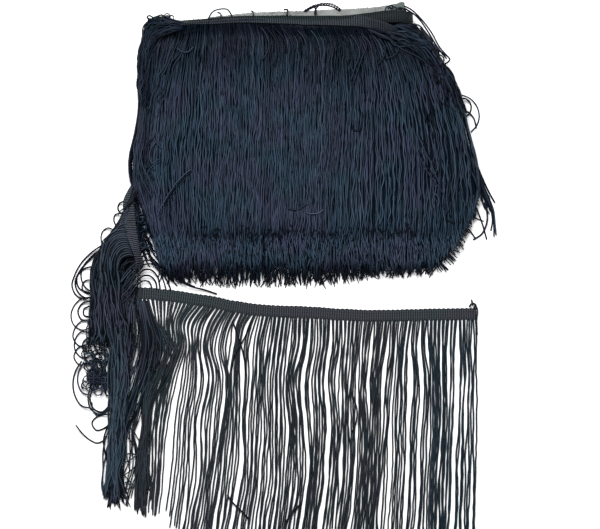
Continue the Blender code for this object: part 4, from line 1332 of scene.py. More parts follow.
# %% Front yarns
RUN_YARNS = 168
RUN_YARN = 1.62
RUN_STEPS = 72
RUN_ROOTS = (-138.0, 173.6)
RUN_LOWEST = -251.0
# where the yarns end: by the place of their roots
END_X = (-138, -80, -78, -58)
END_Y = (-213, -220, -226, -244)


def run_tracks(draw):
    """Each yarn's root and start, and its places down and across, held between two partings."""
    roots = np.linspace(*RUN_ROOTS, RUN_YARNS) + draw.uniform(-0.2, 0.2, RUN_YARNS)
    start = np.interp(roots, run_flat[:, 0], run_flat[:, 1]) - TAPE_WIDTH / 2.0 + 0.6
    parted, cells = parting_cells()
    slot = np.clip(np.searchsorted(parted, roots) - 1, 0, len(parted) - 2)
    inside = (roots - parted[slot]) / (parted[slot + 1] - parted[slot])
    inside = np.clip(inside, 0.0, 1.0)
    low = cells[slot, :, 0] + cells[slot, :, 1] * 0.4
    high = cells[slot + 1, :, 0] - cells[slot + 1, :, 1] * 0.4
    held = low + (high - low) * inside[:, None]
    ragged = draw.uniform(-1.0, 1.0, RUN_YARNS)
    ends = np.interp(roots, END_X, END_Y) + ragged * np.interp(roots, (-80.0, -60.0), (7.0, 4.0))
    y = start[:, None] + (ends - start)[:, None] * np.linspace(0.0, 1.0, RUN_STEPS)
    last = held[:, -1] + (held[:, -1] - held[:, -2]) * 0.3
    x = np.empty_like(y)
    downwards = np.array(RUN_LEVELS[::-1])
    for yarn in range(RUN_YARNS):
        lower = downwards < start[yarn] - 7.0
        levels = (start[yarn], *downwards[lower], RUN_LOWEST)
        places = (roots[yarn], *held[yarn][lower], last[yarn])
        x[yarn] = smooth(levels[::-1], places[::-1], y[yarn])
    return roots, start, y, x


print("tracks in the run:", RUN_YARNS)

# %% Sway and pile of the run
def run_sway(x, y, roots, loose, draw):
    """Sway the yarns two by two, press or fan some of them, and let a few stray; says which stray."""
    x += loose * 0.8 * drift(RUN_YARNS, RUN_STEPS, 3, 9, draw)
    x += loose * 0.42 * drift(RUN_YARNS, RUN_STEPS, 0.5, 8, draw)
    x += loose * 0.3 * drift(RUN_YARNS, RUN_STEPS, 0.5, 2.2, draw)
    paired = np.where(np.arange(RUN_YARNS) % 2, 1.0, -1.0)[:, None]
    x += paired * (0.22 + 0.12 * draw.normal(0.0, 1.0, (RUN_YARNS, 1)))
    x += paired * loose * 0.32 * drift(RUN_YARNS, RUN_STEPS, 4, 10, draw)
    pressed = np.clip((-60.0 - roots[:, None]) / 30.0, 0.0, 1.0) * np.exp(-((y + 47.0) / 15.0) ** 2)
    x += paired * 0.32 * pressed
    fanned = np.interp(roots, (-104.0, -98.0, -79.0, -77.0), (0.0, 1.0, 1.0, 0.0))[:, None]
    x += paired * 0.3 * fanned * np.clip((-120.0 - y) / 20.0, 0.0, 1.0)
    stray = (draw.uniform(0, 1, RUN_YARNS) < 0.10)[:, None]
    x += loose * stray * 2.0 * drift(RUN_YARNS, RUN_STEPS, 0.5, 11, draw)
    return stray


def run_heights(x, stray, loose, draw):
    """How high each yarn lies: they pile up where there is little room between them."""
    order = np.argsort(x, axis=0)
    ranked = np.take_along_axis(x, order, axis=0)
    room = np.gradient(ranked, axis=0)
    pile = np.empty_like(room)
    np.put_along_axis(pile, order, np.clip(RUN_YARN / np.maximum(room, 0.2) - 0.8, 0.0, 3.0), axis=0)
    layer = draw.integers(0, 4, (RUN_YARNS, 1)) / 3.0
    z = RUN_YARN / 2.0 + 0.15 + pile * layer * 1.1 + stray * 0.9 * loose
    z += 0.25 * (1.0 + drift(RUN_YARNS, RUN_STEPS, 0.6, 4, draw)) * loose
    return z


def front_lines():
    """The run's yarns, shared out between the partings and piled where they are crowded."""
    draw = np.random.default_rng(61)
    roots, start, y, x = run_tracks(draw)
    loose = np.clip((start[:, None] - y) / 25.0, 0.0, 1.0)
    stray = run_sway(x, y, roots, loose, draw)
    z = run_heights(x, stray, loose, draw)
    return np.stack([x, y, z], axis=-1)


run_yarns = front_lines()
print("yarns in the run:", len(run_yarns), "highest in mm:", round(float(run_yarns[:, :, 2].max()), 1))

# %% Strands at the run's left end
LEFT_MASS = (
    ((-128.7, -45.9, 0.8), (-125.1, -56.9, 1.6), (-122.3, -68.6, 3), (-123.2, -83.2, 3.5),
     (-125.9, -101.4, 4), (-127.5, -119.5, 4.5), (-127.0, -145, 5), (-132.3, -174.1, 4),
     (-134.2, -199.6, 2)),
    ((-120.5, -47.8, 0.8), (-115.1, -58.7, 1.8), (-110.5, -70.5, 3.2), (-111.4, -83.2, 3.8),
     (-116.8, -101.4, 4), (-124.1, -119.5, 4.5), (-125.9, -145, 5), (-127.7, -174.1, 4),
     (-127.8, -206.9, 2)),
    ((-111.4, -49.6, 0.8), (-103.2, -61.4, 1.8), (-97.7, -71.4, 3), (-100.5, -83.2, 3.6),
     (-107.7, -101.4, 4), (-117.7, -119.5, 4.5), (-122.2, -145, 5), (-123.2, -174.1, 4),
     (-121.4, -211.5, 2)),
)
# single yarns that leave their lock, turn back over the tape's end or cross a parting
FRONT_STRAYS = (
    ((167.8, -33.2, 3), (170.5, -30, 3), (173.7, -30.9, 3), (171.9, -34.6, 2.5)),
    ((171.4, -31.4, 3), (170.5, -28.6, 2.6), (170.1, -26.4, 2)),
    ((173.2, -30.5, 3), (175.1, -35, 2.5), (174.6, -45, 2), (175.1, -58.7, 1.5)),
    ((60.5, -110, 2.5), (63.5, -118, 2.6), (66, -128, 2.6), (65, -138, 2.6), (61.5, -147, 2.4)),
    ((-30, -45, 1.5), (-34, -56, 2.6), (-40, -68, 2.8), (-46, -80, 2.6), (-48, -90, 2.4)),
    ((-47, -46, 1.5), (-43, -58, 2.8), (-39, -70, 3.0), (-36, -84, 2.8), (-35, -96, 2.4)),
    ((-52, -204, 2.5), (-48, -210, 2.8), (-42, -216, 2.8), (-36, -222, 2.6), (-32.5, -226, 2.2)),
    ((15, -212, 2.4), (11, -216, 2.8), (6, -222, 2.8), (1, -229, 2.4)),
)
STRAY_STEPS = 26
# how light the run's yarns are, from left to right
TONE_X = (-130.0, -50.0, 0.0, 170.0)
TONE = (0.62, 0.60, 0.44, 0.46)
draw = np.random.default_rng(62)
run_tone = np.interp(run_yarns[:, 0, 0], TONE_X, TONE)
front_groups = [
    (run_yarns, RUN_YARN, np.repeat(run_tone[:, None], RUN_STEPS, axis=1)),
    streaked(lay(LEFT_MASS, 22, 60, 2.0, 0.5, draw, 0.08, 0.35), 1.0, 0.4),
]
for points in FRONT_STRAYS:
    front_groups.append((through(points, STRAY_STEPS)[None], RUN_YARN, 0.3))
front = yarn_piece("front_yarns", front_groups, laid_yarn, 5, sides=5)
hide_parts("front_run")
run_length * MM

# %% [markdown]
# ## The fall at the left
#
# The tape comes out from under the bundle, runs down on top of its own heap of yarns and swings round a
# corner into the front run. The yarns leave its left edge, arch over and drop in a thick hank. Guide
# yarns from the outer rim to the inner side again give the flow. Other yarns come down at the corner and
# cross over the hank, and short ones span the hollow by the tape and the slit beside the bundle.

# %% Side tape
SIDE_STEPS = 100
SIDE_LINE = (
    (-128, 86, 6), (-133, 79, 8), (-138.5, 71, 11.5), (-141, 63, 14), (-141, 53, 14.5), (-140, 41.5, 15),
    (-137.5, 28, 15.5), (-134, 17, 15.5), (-131.5, 7, 14.5), (-134, -1.5, 10.5), (-142, -8.5, 7),
    (-146, -15.5, 3.5), (-143, -20, 1.8), (-138, -21, 1.5),
)
# which way the tape's fringed edge points at each of those places
SIDE_ACROSS = (
    (-1, 0, 0), (-1, 0, 0), (-1, -0.1, 0), (-1, 0, 0), (-1, 0, 0), (-1, 0, 0.05), (-1, 0.1, 0.2),
    (-0.8, 0.2, 0.5), (-0.6, 0, 0.8), (-0.7, -0.2, 0.7), (-0.7, -0.6, 0.2), (-0.6, -0.8, 0),
    (-0.1, -1, 0), (0, -1, 0),
)
side_middle = through(SIDE_LINE, SIDE_STEPS)
side_shares = np.linspace(0.0, 1.0, len(SIDE_ACROSS))
side_turns = smooth(side_shares, np.array(SIDE_ACROSS, float).T, np.linspace(0.0, 1.0, SIDE_STEPS)).T
side_tape, side_length = tape_sheet("side_tape", side_middle, side_turns, 0.7, True, fall_dark, 70)
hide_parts("side_fall")

# %% Side heap
SIDE_Y = (-66, -50, -32, -13, 5, 20, 33, 46, 56, 68)
SIDE_LEFT = (-172, -172, -172, -170, -168, -162.5, -155, -148.5, -143.5, -139.5)
SIDE_RIGHT = (-150, -148, -146, -140, -137, -138, -138, -137, -137, -138)
SIDE_THICK = (4.5, 6.5, 7.0, 6.5, 8.0, 11.5, 12.5, 12.0, 11.0, 9.0)
SIDE_FOOT = 0.6
SIDE_CUTS = 20


def build_side_heart():
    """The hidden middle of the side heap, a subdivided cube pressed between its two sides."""
    heap, unit = fine_cube("side_heart", SIDE_CUTS)
    y = smooth((-1.0, 1.0), (-64.0, 66.0), unit[:, 1])
    left = smooth(SIDE_Y, SIDE_LEFT, y)
    right = smooth(SIDE_Y, SIDE_RIGHT, y)
    crown = np.sqrt(np.clip(1.0 - np.abs(unit[:, 0]) ** 3, 0.0, 1.0))
    top = smooth(SIDE_Y, SIDE_THICK, y) * (0.35 + 0.6 * crown)
    x = left + (right - left) * (unit[:, 0] + 1.0) / 2.0
    z = SIDE_FOOT + np.maximum(top - SIDE_FOOT, 0.5) * (unit[:, 2] + 1.0) / 2.0
    press(heap, x, y, z)
    return heap


side_heart = build_side_heart()
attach(side_heart, "root")
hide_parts("side_fall")
print("side heart faces:", len(side_heart.data.polygons))

# %% Hank of the fall
# the outer rim, and the arch over the tape from its outer to its inner side
SIDE_RIM = (
    ((-139.0, 63.0, 14), (-142.5, 58.0, 14.5), (-146.3, 51.0, 14), (-149.8, 42.5, 14),
     (-155.3, 33.5, 13.5), (-161.6, 24, 13), (-169.4, 13.2, 12.5), (-174.3, 0.5, 12),
     (-175.6, -17.7, 11), (-176.5, -35.8, 10), (-177.5, -54, 9), (-179.3, -68.6, 8)),
    ((-141.7, 52.9, 14.5), (-146, 49.6, 15), (-150.5, 41.5, 15), (-156, 33, 14.5), (-162.4, 24, 14),
     (-168.1, 14.1, 13), (-171.9, -1.3, 12), (-171.9, -19.5, 11), (-172, -37.7, 10), (-172, -55.8, 9),
     (-173, -70.4, 8)),
    ((-142.5, 43.9, 15), (-148.8, 41.1, 15.5), (-154.2, 35.2, 15.5), (-160.2, 26.7, 15),
     (-165.4, 16.3, 14), (-168.2, 2.3, 13), (-168.3, -15.9, 12), (-167.4, -34, 10.5), (-167.5, -54, 9),
     (-167.5, -70.4, 8)),
    ((-143.5, 35.3, 15.5), (-150.6, 33.6, 16.5), (-157, 30, 16.5), (-162.6, 21.6, 15.5),
     (-165.4, 9.5, 14), (-165.5, -8.6, 12.5), (-163.8, -26.8, 11), (-162.9, -49.5, 9.5),
     (-162.1, -72.2, 8)),
)
SIDE_ARCH = (
    ((-143.5, 36.5, 16.4), (-150.5, 37, 17.6), (-158, 33, 17.6), (-162.8, 24, 17), (-164.8, 10, 15.4),
     (-164, -8, 13.6), (-162, -26.7, 12), (-160.5, -49.5, 10), (-158.5, -72.2, 9), (-157, -95, 8),
     (-157, -117.6, 7), (-158, -140.4, 6), (-159, -163.1, 5), (-159, -183, 4.5), (-167, -205, 2)),
    ((-141.8, 31.3, 16), (-148.1, 31.3, 18), (-155.3, 27.7, 18.5), (-159.8, 19.5, 18), (-161.7, 7.7, 16),
     (-160.9, -8.6, 14), (-159.2, -26.7, 12), (-157.5, -49.5, 10), (-155.7, -72.2, 9),
     (-154.8, -94.9, 8), (-154.9, -117.6, 7), (-155.8, -140.4, 6), (-156.6, -163.1, 5),
     (-156.8, -183, 4.5), (-162.2, -209, 2)),
    ((-140, 24.9, 16), (-146.2, 25.8, 18), (-152.6, 22.2, 18.5), (-157.1, 14.1, 18), (-158.1, 2.3, 16),
     (-156.4, -14, 14), (-154.6, -32.2, 12), (-152, -54, 10), (-150.2, -74, 9), (-150.3, -97.6, 8),
     (-151.2, -119.4, 7), (-152.2, -143.1, 6), (-154, -165, 5), (-154.2, -184, 4.5),
     (-155.8, -214, 2)),
    ((-138.2, 18.6, 16), (-143.5, 19.5, 18), (-149.8, 16.8, 18.5), (-153.5, 8.6, 18), (-153.6, -3.2, 16),
     (-151.8, -19.5, 14), (-150.1, -37.6, 12), (-147.5, -58.5, 10), (-145.7, -76.7, 9),
     (-145.7, -99.4, 8), (-147.6, -121.3, 7), (-148.5, -143.1, 6), (-151.3, -165, 5),
     (-152.2, -188.6, 4.5), (-150.5, -216, 3)),
    ((-135.5, 12.3, 15), (-140.8, 13.2, 18), (-146.2, 11.3, 18.5), (-149.9, 3.2, 18), (-149.9, -8.6, 16),
     (-148.2, -24.9, 14), (-146.5, -41.3, 12), (-142.9, -59.4, 10), (-141.2, -77.6, 9),
     (-141.2, -97.6, 8), (-143, -121.3, 7), (-144.9, -143.1, 6), (-147.7, -165, 5),
     (-149, -184, 4.5), (-140.5, -215, 2)),
)
print("guides of the hank:", len(SIDE_RIM) + len(SIDE_ARCH))

# %% Yarns round the corner
CORNER_COLUMN = (
    ((-149.5, -16, 4), (-150.5, -27, 6), (-149.5, -45, 8), (-149, -68, 8), (-150.5, -90.5, 8),
     (-154, -113.5, 7), (-157, -136, 6), (-159.5, -154, 5), (-158, -177, 4), (-160.5, -195, 3),
     (-164.5, -209, 1.5)),
    ((-146, -19.5, 4), (-145, -36, 6), (-144, -54, 8), (-143.5, -72.5, 8), (-146, -92.5, 8),
     (-151.5, -113.5, 7), (-154.5, -136, 6), (-157, -154, 5), (-156, -177, 4), (-158, -195, 3),
     (-160.5, -213.5, 1.5)),
    ((-141.5, -23, 4), (-139.5, -38, 6), (-139.5, -54, 8), (-140, -72.5, 8), (-143.5, -92.5, 8),
     (-148.5, -113.5, 7), (-151, -136, 6), (-153.5, -154, 5), (-154, -177, 4), (-155, -195, 3),
     (-156, -213.5, 1.5)),
    ((-137, -25, 4), (-134, -38, 6), (-131.5, -54, 8), (-133, -70, 8), (-136.3, -83, 8),
     (-140.2, -96, 7.5), (-145, -111.5, 7), (-147.5, -127, 6), (-149, -154, 5), (-150.5, -177, 4),
     (-149.5, -195, 3), (-144.5, -209, 1.5)),
)
CROSSING = (
    ((-134, -25, 1.5), (-132.5, -45, 4), (-131.5, -63, 5.5), (-132.8, -83, 6.5), (-136.8, -98, 7),
     (-141, -111.5, 7.2), (-146, -125, 6.6), (-151, -154, 5.5), (-154, -177, 4.5), (-158, -195, 3),
     (-161, -213, 1)),
    ((-131, -27, 1.5), (-128, -45, 3.5), (-126, -63, 5), (-127.5, -81, 6), (-131.5, -97, 7),
     (-137, -113, 7), (-143, -129.5, 6), (-149, -154, 5), (-152, -177, 4.5), (-156, -195, 3),
     (-159, -218, 1)),
    ((-128, -27, 1.5), (-123, -45, 3.5), (-119.5, -63, 5), (-121.5, -81.5, 6), (-126, -99.5, 6.5),
     (-131.5, -116, 6.5), (-136.5, -130, 6), (-144.5, -148, 5), (-149, -172, 4), (-153.5, -195, 3),
     (-157, -213.5, 1)),
    ((-122.5, -28, 1.5), (-118, -45, 3.5), (-113.5, -63, 4.5), (-115, -81.5, 5.5), (-121.5, -99.5, 6.5),
     (-129, -118, 6), (-134, -134, 5.5), (-138, -147, 5), (-135, -160, 4.5), (-131, -181.5, 4),
     (-135, -199.5, 3), (-140.5, -220, 1)),
)
# yarns that spread out at the left and curl in again
NET = (
    ((-179, -45, 8), (-182.5, -68, 6), (-180.5, -86, 4.5), (-175, -104, 3), (-171.5, -118, 1.5)),
    ((-174, -45, 8), (-175, -68, 6), (-172.5, -86, 5), (-169, -104, 3.5), (-168, -116, 1.5)),
    ((-169, -45, 8), (-168, -68, 6.5), (-165, -86, 5), (-163.5, -104, 3.5), (-166, -114, 2)),
    ((-163.5, -45, 8), (-161.5, -68, 7), (-159, -86, 5), (-159.5, -104, 4), (-164.5, -112.5, 2)),
)
print("guides at the corner:", len(CORNER_COLUMN) + len(CROSSING) + len(NET))

# %% Yarns in the hollow and the slit
# yarns that cross the hollow inside the tape's bend
HOLLOW = (
    ((-133.7, 7.7, 15), (-141.9, 0.5, 14), (-149.2, -11.3, 12), (-152, -24.9, 10)),
    ((-134.6, 2.3, 14), (-141.9, -5.9, 12), (-146.6, -17.7, 10), (-147.6, -30.4, 8)),
    ((-134.7, -3.2, 12), (-140.2, -12.2, 10), (-143, -24.1, 8), (-142.1, -37.7, 7)),
    ((-156.3, 7.7, 15), (-158.2, -4.1, 13), (-155.6, -17.7, 11), (-152.1, -32.2, 9)),
    ((-139.4, -25, 7), (-146.6, -15.9, 9), (-151.9, -5, 12), (-155.5, 3.2, 14)),
    ((-136.7, -29.5, 6), (-144.8, -22.2, 8), (-151.1, -13.1, 11), (-154.6, -4.1, 13)),
    ((-151.1, -20.4, 10), (-142.9, -11.3, 12), (-136.5, -3.2, 13)),
    ((-149.3, -25, 9), (-141.1, -15.9, 11), (-134.7, -7.7, 12)),
    ((-146.6, -28.6, 8), (-139.3, -20.4, 9), (-133.9, -12.2, 10)),
    ((-152.9, -15.9, 11), (-145.5, -6.8, 13), (-139.1, 0.5, 14)),
    ((-133.7, 2.3, 14), (-132.9, -6.8, 12), (-133.9, -17.7, 9), (-136.7, -30.4, 7)),
    ((-132.8, 7.7, 14), (-131.1, -4.1, 11), (-131.2, -17.7, 8), (-133.1, -32.2, 6)),
)
# guides of the yarns that drop from the tape into the hollow
HOLLOW_FALL = (
    ((-135.5, 15, 14), (-141, 12, 15.5), (-146, 4, 14.5), (-149, -9, 12.5), (-150, -24, 10)),
    ((-134.5, 8, 14), (-138.5, 5, 14), (-142.5, -4, 13), (-145.5, -15, 10), (-146.5, -28, 8)),
    ((-133.5, 1, 12), (-136, -4, 12), (-138.5, -12, 10), (-141, -22, 8), (-142.5, -33, 7)),
)
# yarns that hide the place where the tape leaves the bundle
COVER = (
    ((-120, 109.2, 17), (-126, 92.9, 18), (-132.5, 80.2, 17), (-139.5, 68.5, 16), (-145.7, 57.6, 15.5),
     (-151.3, 45.8, 15)),
    ((-115.4, 101.9, 19), (-121.5, 87.4, 20), (-128, 75.7, 19), (-135.5, 65.7, 18), (-141.8, 56.7, 16.8),
     (-146.7, 45.8, 15.5)),
)
# short yarns across the top of the slit
UNDER_RIBS = (
    ((-132, 59.4, 12), (-126.5, 60.8, 12.5), (-120.2, 61.3, 12)),
    ((-132, 56.7, 12), (-126.5, 57.6, 12.5), (-120.2, 58.1, 12)),
    ((-132, 54, 11.5), (-126.5, 54.5, 12), (-120.2, 54.9, 11.5)),
    ((-131.5, 51.3, 11), (-125.6, 51.7, 11.5), (-120.2, 52.2, 11)),
    ((-131.1, 48.6, 10.5), (-125.6, 48.6, 11), (-121.1, 48.6, 10.5)),
)
# threads seen in plan that span the gaps between the hanks
LADDER = (
    ((-150, -176), (-144, -174), (-137, -170), (-132, -165)),
    ((-149, -188), (-142, -183.5), (-133.5, -176)),
    ((-149.5, -181.5), (-144, -188), (-139, -193.5)),
    ((-144, -156), (-143.5, -168), (-140.5, -181.5)),
    ((-149, -143), (-142, -152), (-136, -159.5), (-130, -164)),
    ((-150, -168), (-144, -167), (-138, -166.5), (-132, -170)),
    ((-150.5, -199.5), (-144, -199), (-138, -197)),
    ((-145, -192.5), (-140.5, -194.5), (-135, -194.5)),
    ((-146, -138), (-138.5, -144.5), (-134, -151.5), (-129, -160)),
    ((-160.5, -140.5), (-164.5, -154), (-162.5, -168), (-159, -181.5)),
    ((-162.5, -168), (-165, -181.5), (-165, -204.5)),
    ((-147, -104), (-140.5, -92.5), (-134, -83.5)),
    ((-143.5, -105), (-139.5, -110.5), (-133.5, -107)),
    ((-138.3, 57), (-136.8, 47), (-134.6, 36)),
    ((-137.5, 61), (-135.5, 50), (-133.5, 37)),
    ((-136.3, 61), (-134.3, 49), (-132.6, 35)),
    ((-135.2, 58), (-133.4, 46), (-131.8, 35)),
)
print("yarns across the hollow and the gaps:", len(HOLLOW) + len(UNDER_RIBS) + len(LADDER))

# %% Side yarns
SIDE_YARN = 1.3
FINE_YARN = 1.05
LADDER_HEIGHTS = (2.5, 4.5, 2.5)
draw = np.random.default_rng(80)
# the lower layers of each hank are near black: painted shade under the top yarns
side_groups = [
    streaked(lay(SIDE_RIM, 36, 64, 2.2, 0.12, draw, 0.10, 0.45), 0.85, 0.12, FINE_YARN, 3),
    (lay(SIDE_RIM, 24, 40, 2.6, 0.5, draw, 0.14, 0.5), SIDE_YARN, 0.03),
    (lay(SIDE_RIM, 24, 30, 2.6, 0.9, draw, 0.14, 0.5), SIDE_YARN, 0.02),
    streaked(lay(SIDE_ARCH, 52, 90, 2.8, 0.12, draw, 0.05, 0.6), 1.0, 0.08, FINE_YARN, 4),
    (lay(SIDE_ARCH, 22, 56, 3.4, 0.3, draw, 0.10, 0.6), SIDE_YARN, 0.03),
    (lay(SIDE_ARCH, 24, 40, 3.0, 0.8, draw, 0.10, 0.5), SIDE_YARN, 0.02),
    streaked(lay(CORNER_COLUMN, 32, 64, 3.0, 0.2, draw, 0.06, 0.5), 0.95, 0.08, FINE_YARN, 3),
    (lay(CORNER_COLUMN, 26, 40, 3.2, 0.8, draw, 0.08, 0.5), SIDE_YARN, 0.04),
    streaked(lay(CROSSING[:3], 24, 48, 2.0, 0.6, draw, 0.05, 0.5), 0.7, 0.08, THIN_YARN, 3),
    streaked(lay(CROSSING[2:], 8, 48, 2.6, 0.4, draw, 0.12, 0.8), 0.4, 0.05, THIN_YARN, 3),
    streaked(lay(HOLLOW_FALL, 14, 40, 3.0, 0.4, draw, 0.3, 1.2), 0.45, 0.08),
    streaked(lay(NET, 14, 44, 6.0, 0.5, draw, 0.2, 2.0), 0.5, 0.08),
    streaked(lay(HOLLOW[:3], 10, 30, 4.0, 0.4, draw, 0.3, 1.6), 0.4, 0.05),
    streaked(lay(HOLLOW[6:9], 8, 30, 4.0, 0.4, draw, 0.3, 1.6), 0.4, 0.05),
    streaked(lay(COVER, 14, 40, 1.8, 0.2, draw, 0.2, 0.6), 0.5, 0.05),
]
for number, points in enumerate(HOLLOW):
    side_groups.append((through(points, 24)[None], THIN_YARN, 0.6 if number % 2 else 0.3))
for points in UNDER_RIBS:
    side_groups.append((through(points, 10)[None], THIN_YARN, 0.7))
for points in LADDER:
    side_groups.append((thread(points, LADDER_HEIGHTS, 16), SIDE_YARN, 0.3))
side = yarn_piece("side_yarns", side_groups, heap_yarn, 6)
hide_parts("side_fall")
side_length * MM

# %% [markdown]
# ## Loops, rings and stray ends
#
# Chainette curls when it is cut loose. Round the heap it throws loops on the table, and small rings lie
# in nests at its lower left and in the slit beside the bundle. Each loop that shows has its own few
# points; the nests are drawn by a seeded random hand that turns each ring once or twice. Above the
# header lies an arc of crochet chain, two yarns twisted round each other.

# %% Loops at the left
LEFT_LOOPS = (
    ((-146, 63.2), (-150.5, 60.5), (-151.4, 55.9), (-148.7, 52.3), (-145.1, 55)),
    ((-148.7, 52.3), (-154.2, 50.5), (-155.1, 45), (-152.3, 40.5), (-148.7, 44.1)),
    ((-155.1, 36.8), (-160.5, 38.7), (-165.1, 35.9), (-166.9, 29.6), (-164.2, 22.3), (-159.6, 24.1)),
    ((-162.3, 25), (-175.1, 16.8), (-184.2, 7.7), (-190.5, -3.2), (-193.3, -14.1), (-189.6, -22.3),
     (-182.4, -25.9), (-174.2, -23.2)),
    ((-164.2, 21.4), (-176, 12.3), (-183.3, 3.2), (-185.1, -5.9), (-181.4, -15), (-173.3, -20.5)),
    ((-166.9, 18.6), (-178.7, 8.6), (-186.9, -1.4), (-190.5, -11.4), (-187.8, -19.6), (-180.5, -25),
     (-173.3, -24.1)),
    ((-172.4, 4.1), (-182.4, 1.4), (-188.7, -5.9), (-186.9, -15.9), (-176.9, -20.5)),
    ((-174.2, -8.6), (-181.4, -9.5), (-184.2, -15), (-180.5, -20.5), (-173.3, -19.6)),
    ((-175.1, -24.1), (-185.1, -25.9), (-191.5, -32.3), (-194.2, -40.5), (-191.5, -49.6),
     (-184.2, -54.1), (-175.1, -51.4)),
    ((-175.1, -27.7), (-183.3, -29.6), (-187.8, -36.8), (-185.1, -44.1), (-175.1, -45)),
    ((-176.9, -32.3), (-182.4, -35), (-182.4, -40.5), (-176, -42.3)),
    ((-175.1, -45), (-184.2, -45.9), (-190.5, -52.3), (-192.4, -60.5), (-187.8, -67.8), (-176.9, -69.6)),
    ((-176, -56.8), (-185.1, -55.9), (-190.5, -63.2), (-190.5, -72.3), (-183.3, -79.6), (-175.1, -76.9)),
    ((-178.7, -66.8), (-187.8, -70.5), (-191.5, -78.7), (-186, -85.9), (-178.7, -83.2)),
    ((-176.9, -61.4), (-182.4, -64.1), (-183.3, -71.4), (-178.7, -75)),
    ((-184.2, -82.3), (-189.6, -90.5), (-192.4, -103.2), (-190.5, -114.1), (-184.2, -123.2),
     (-176, -125.1)),
    ((-182.4, -83.2), (-186.9, -91.4), (-187.8, -103.2), (-183.3, -111.4), (-176.9, -113.2)),
    ((-155.1, -108.7), (-158.7, -121.4), (-166.9, -128.7), (-174.2, -125.1), (-176.9, -116),
     (-174.2, -106.9)),
    ((-156, -113.2), (-160.5, -125.1), (-168.7, -130.5), (-176, -126), (-178.7, -115.1),
     (-175.1, -103.2)),
    ((-154.2, -117.8), (-161.4, -127.8), (-169.6, -132.3), (-174.2, -127.8), (-175.1, -119.6)),
    ((-156.9, -130.5), (-169.6, -132.3), (-175.1, -138.7), (-171.4, -145.1), (-162.3, -142.3),
     (-156, -135.1)),
    ((-189.6, -140.5), (-183.3, -148.7), (-176.9, -154.2), (-170.5, -156.9), (-164.2, -154.2),
     (-159.6, -145.1)),
    ((-162.3, -150.5), (-165.1, -165.1), (-165.1, -181.5), (-166, -197.8), (-163.3, -206.9)),
)
# loops in the slit between the fall and the bundle
BRIDGE_LOOPS = (
    ((-133.1, -1.4), (-127.7, 5), (-121.3, 5.9), (-115, 0.5), (-110.4, -8.6), (-107.7, -17.7)),
    ((-133.1, -5), (-127.7, 0.5), (-121.3, 0.5), (-115.9, -5), (-113.1, -16.8)),
    ((-134, -9.5), (-128.6, -5), (-122.2, -5), (-117.7, -9.5), (-115.9, -17.7)),
    ((-134, -13.2), (-128.6, -9.5), (-123.1, -10.4), (-120.4, -16.8)),
    ((-132.2, 4.1), (-125.9, 9.5), (-119.5, 7.7), (-113.1, 0.5), (-106.8, -9.5), (-103.1, -18.6)),
    ((-131.3, 10.5), (-125, 15), (-118.6, 9.5), (-111.3, 1.4), (-104, -6.8), (-97.7, -14.1)),
    ((-130.4, 18.6), (-124, 21.4), (-117.7, 13.2), (-109.5, 4.1), (-101.3, -1.4)),
    ((-132.2, 50.4), (-127.7, 52.3), (-124, 49.5), (-125.9, 44.1), (-130.4, 43.2)),
    ((-131.3, 42.3), (-126.8, 45), (-123.1, 41.4), (-125.9, 35.9), (-130.4, 36.8)),
    ((-131.3, 35), (-125.9, 36.8), (-122.2, 32.3), (-125.9, 26.8), (-130.4, 29.5)),
    ((-130.4, 27.7), (-125, 27.7), (-120.4, 22.3), (-124, 17.7), (-129.5, 21.4)),
    ((-129.5, 53.2), (-125.9, 41.4), (-129.5, 29.5), (-125, 18.6)),
    ((-124, 51.4), (-129.5, 38.6), (-123.1, 27.7), (-120.4, 16.8)),
    ((-126.8, 53.2), (-122.2, 44.1), (-125.9, 33.2), (-122.2, 22.3), (-117.7, 16.8)),
    ((-96.8, -8.6), (-85.9, -14.1), (-72.2, -17.7), (-61.3, -21.4)),
    ((-110.4, 0.5), (-95, -8.6), (-81.3, -15)),
    ((-142.2, 7.7), (-147.7, 2.3), (-151.3, -6.8), (-149.5, -17.7)),
    ((-138.6, 2.3), (-144, -4.1), (-146.8, -12.3), (-144.9, -21.4)),
)
print("loops:", len(LEFT_LOOPS) + len(BRIDGE_LOOPS))

# %% Nests of rings
# each row: how many rings, the oval's middle and reach, least and largest radius, their highest place
NESTS = (
    (18, (-167.0, -84.0), (13.5, 27.0), (3.2, 6.5), 7.5),
    (9, (-170.0, -104.0), (11.0, 14.0), (2.8, 5.4), 5.5),
    (8, (-176.5, -91.0), (4.0, 6.0), (2.2, 4.2), 5.0),
    (10, (-129.0, 30.0), (4.5, 20.0), (1.8, 3.6), 7.0),
)
LOOP_YARN = 1.6
LEFT_HEIGHTS = (6.0, 2.5, 0.8, 0.8, 1.6, 5.0)
BRIDGE_HEIGHTS = (9.0, 6.0, 4.0, 2.0, 1.2)
NEST_LOWEST = 0.8
draw = np.random.default_rng(90)
loop_groups = [(thread(points, LEFT_HEIGHTS), LOOP_YARN, 0.05) for points in LEFT_LOOPS]
loop_groups += [(thread(points, BRIDGE_HEIGHTS), LOOP_YARN, 0.05) for points in BRIDGE_LOOPS]
for count, middle, reach, radii, top in NESTS:
    loop_groups.append((nest_rings(count, middle, reach, radii, top, NEST_LOWEST, draw), HAIR_YARN, 0.35))
loops = yarn_piece("side_loops", loop_groups, wound_yarn, 7, sides=5)
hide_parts("side_fall")

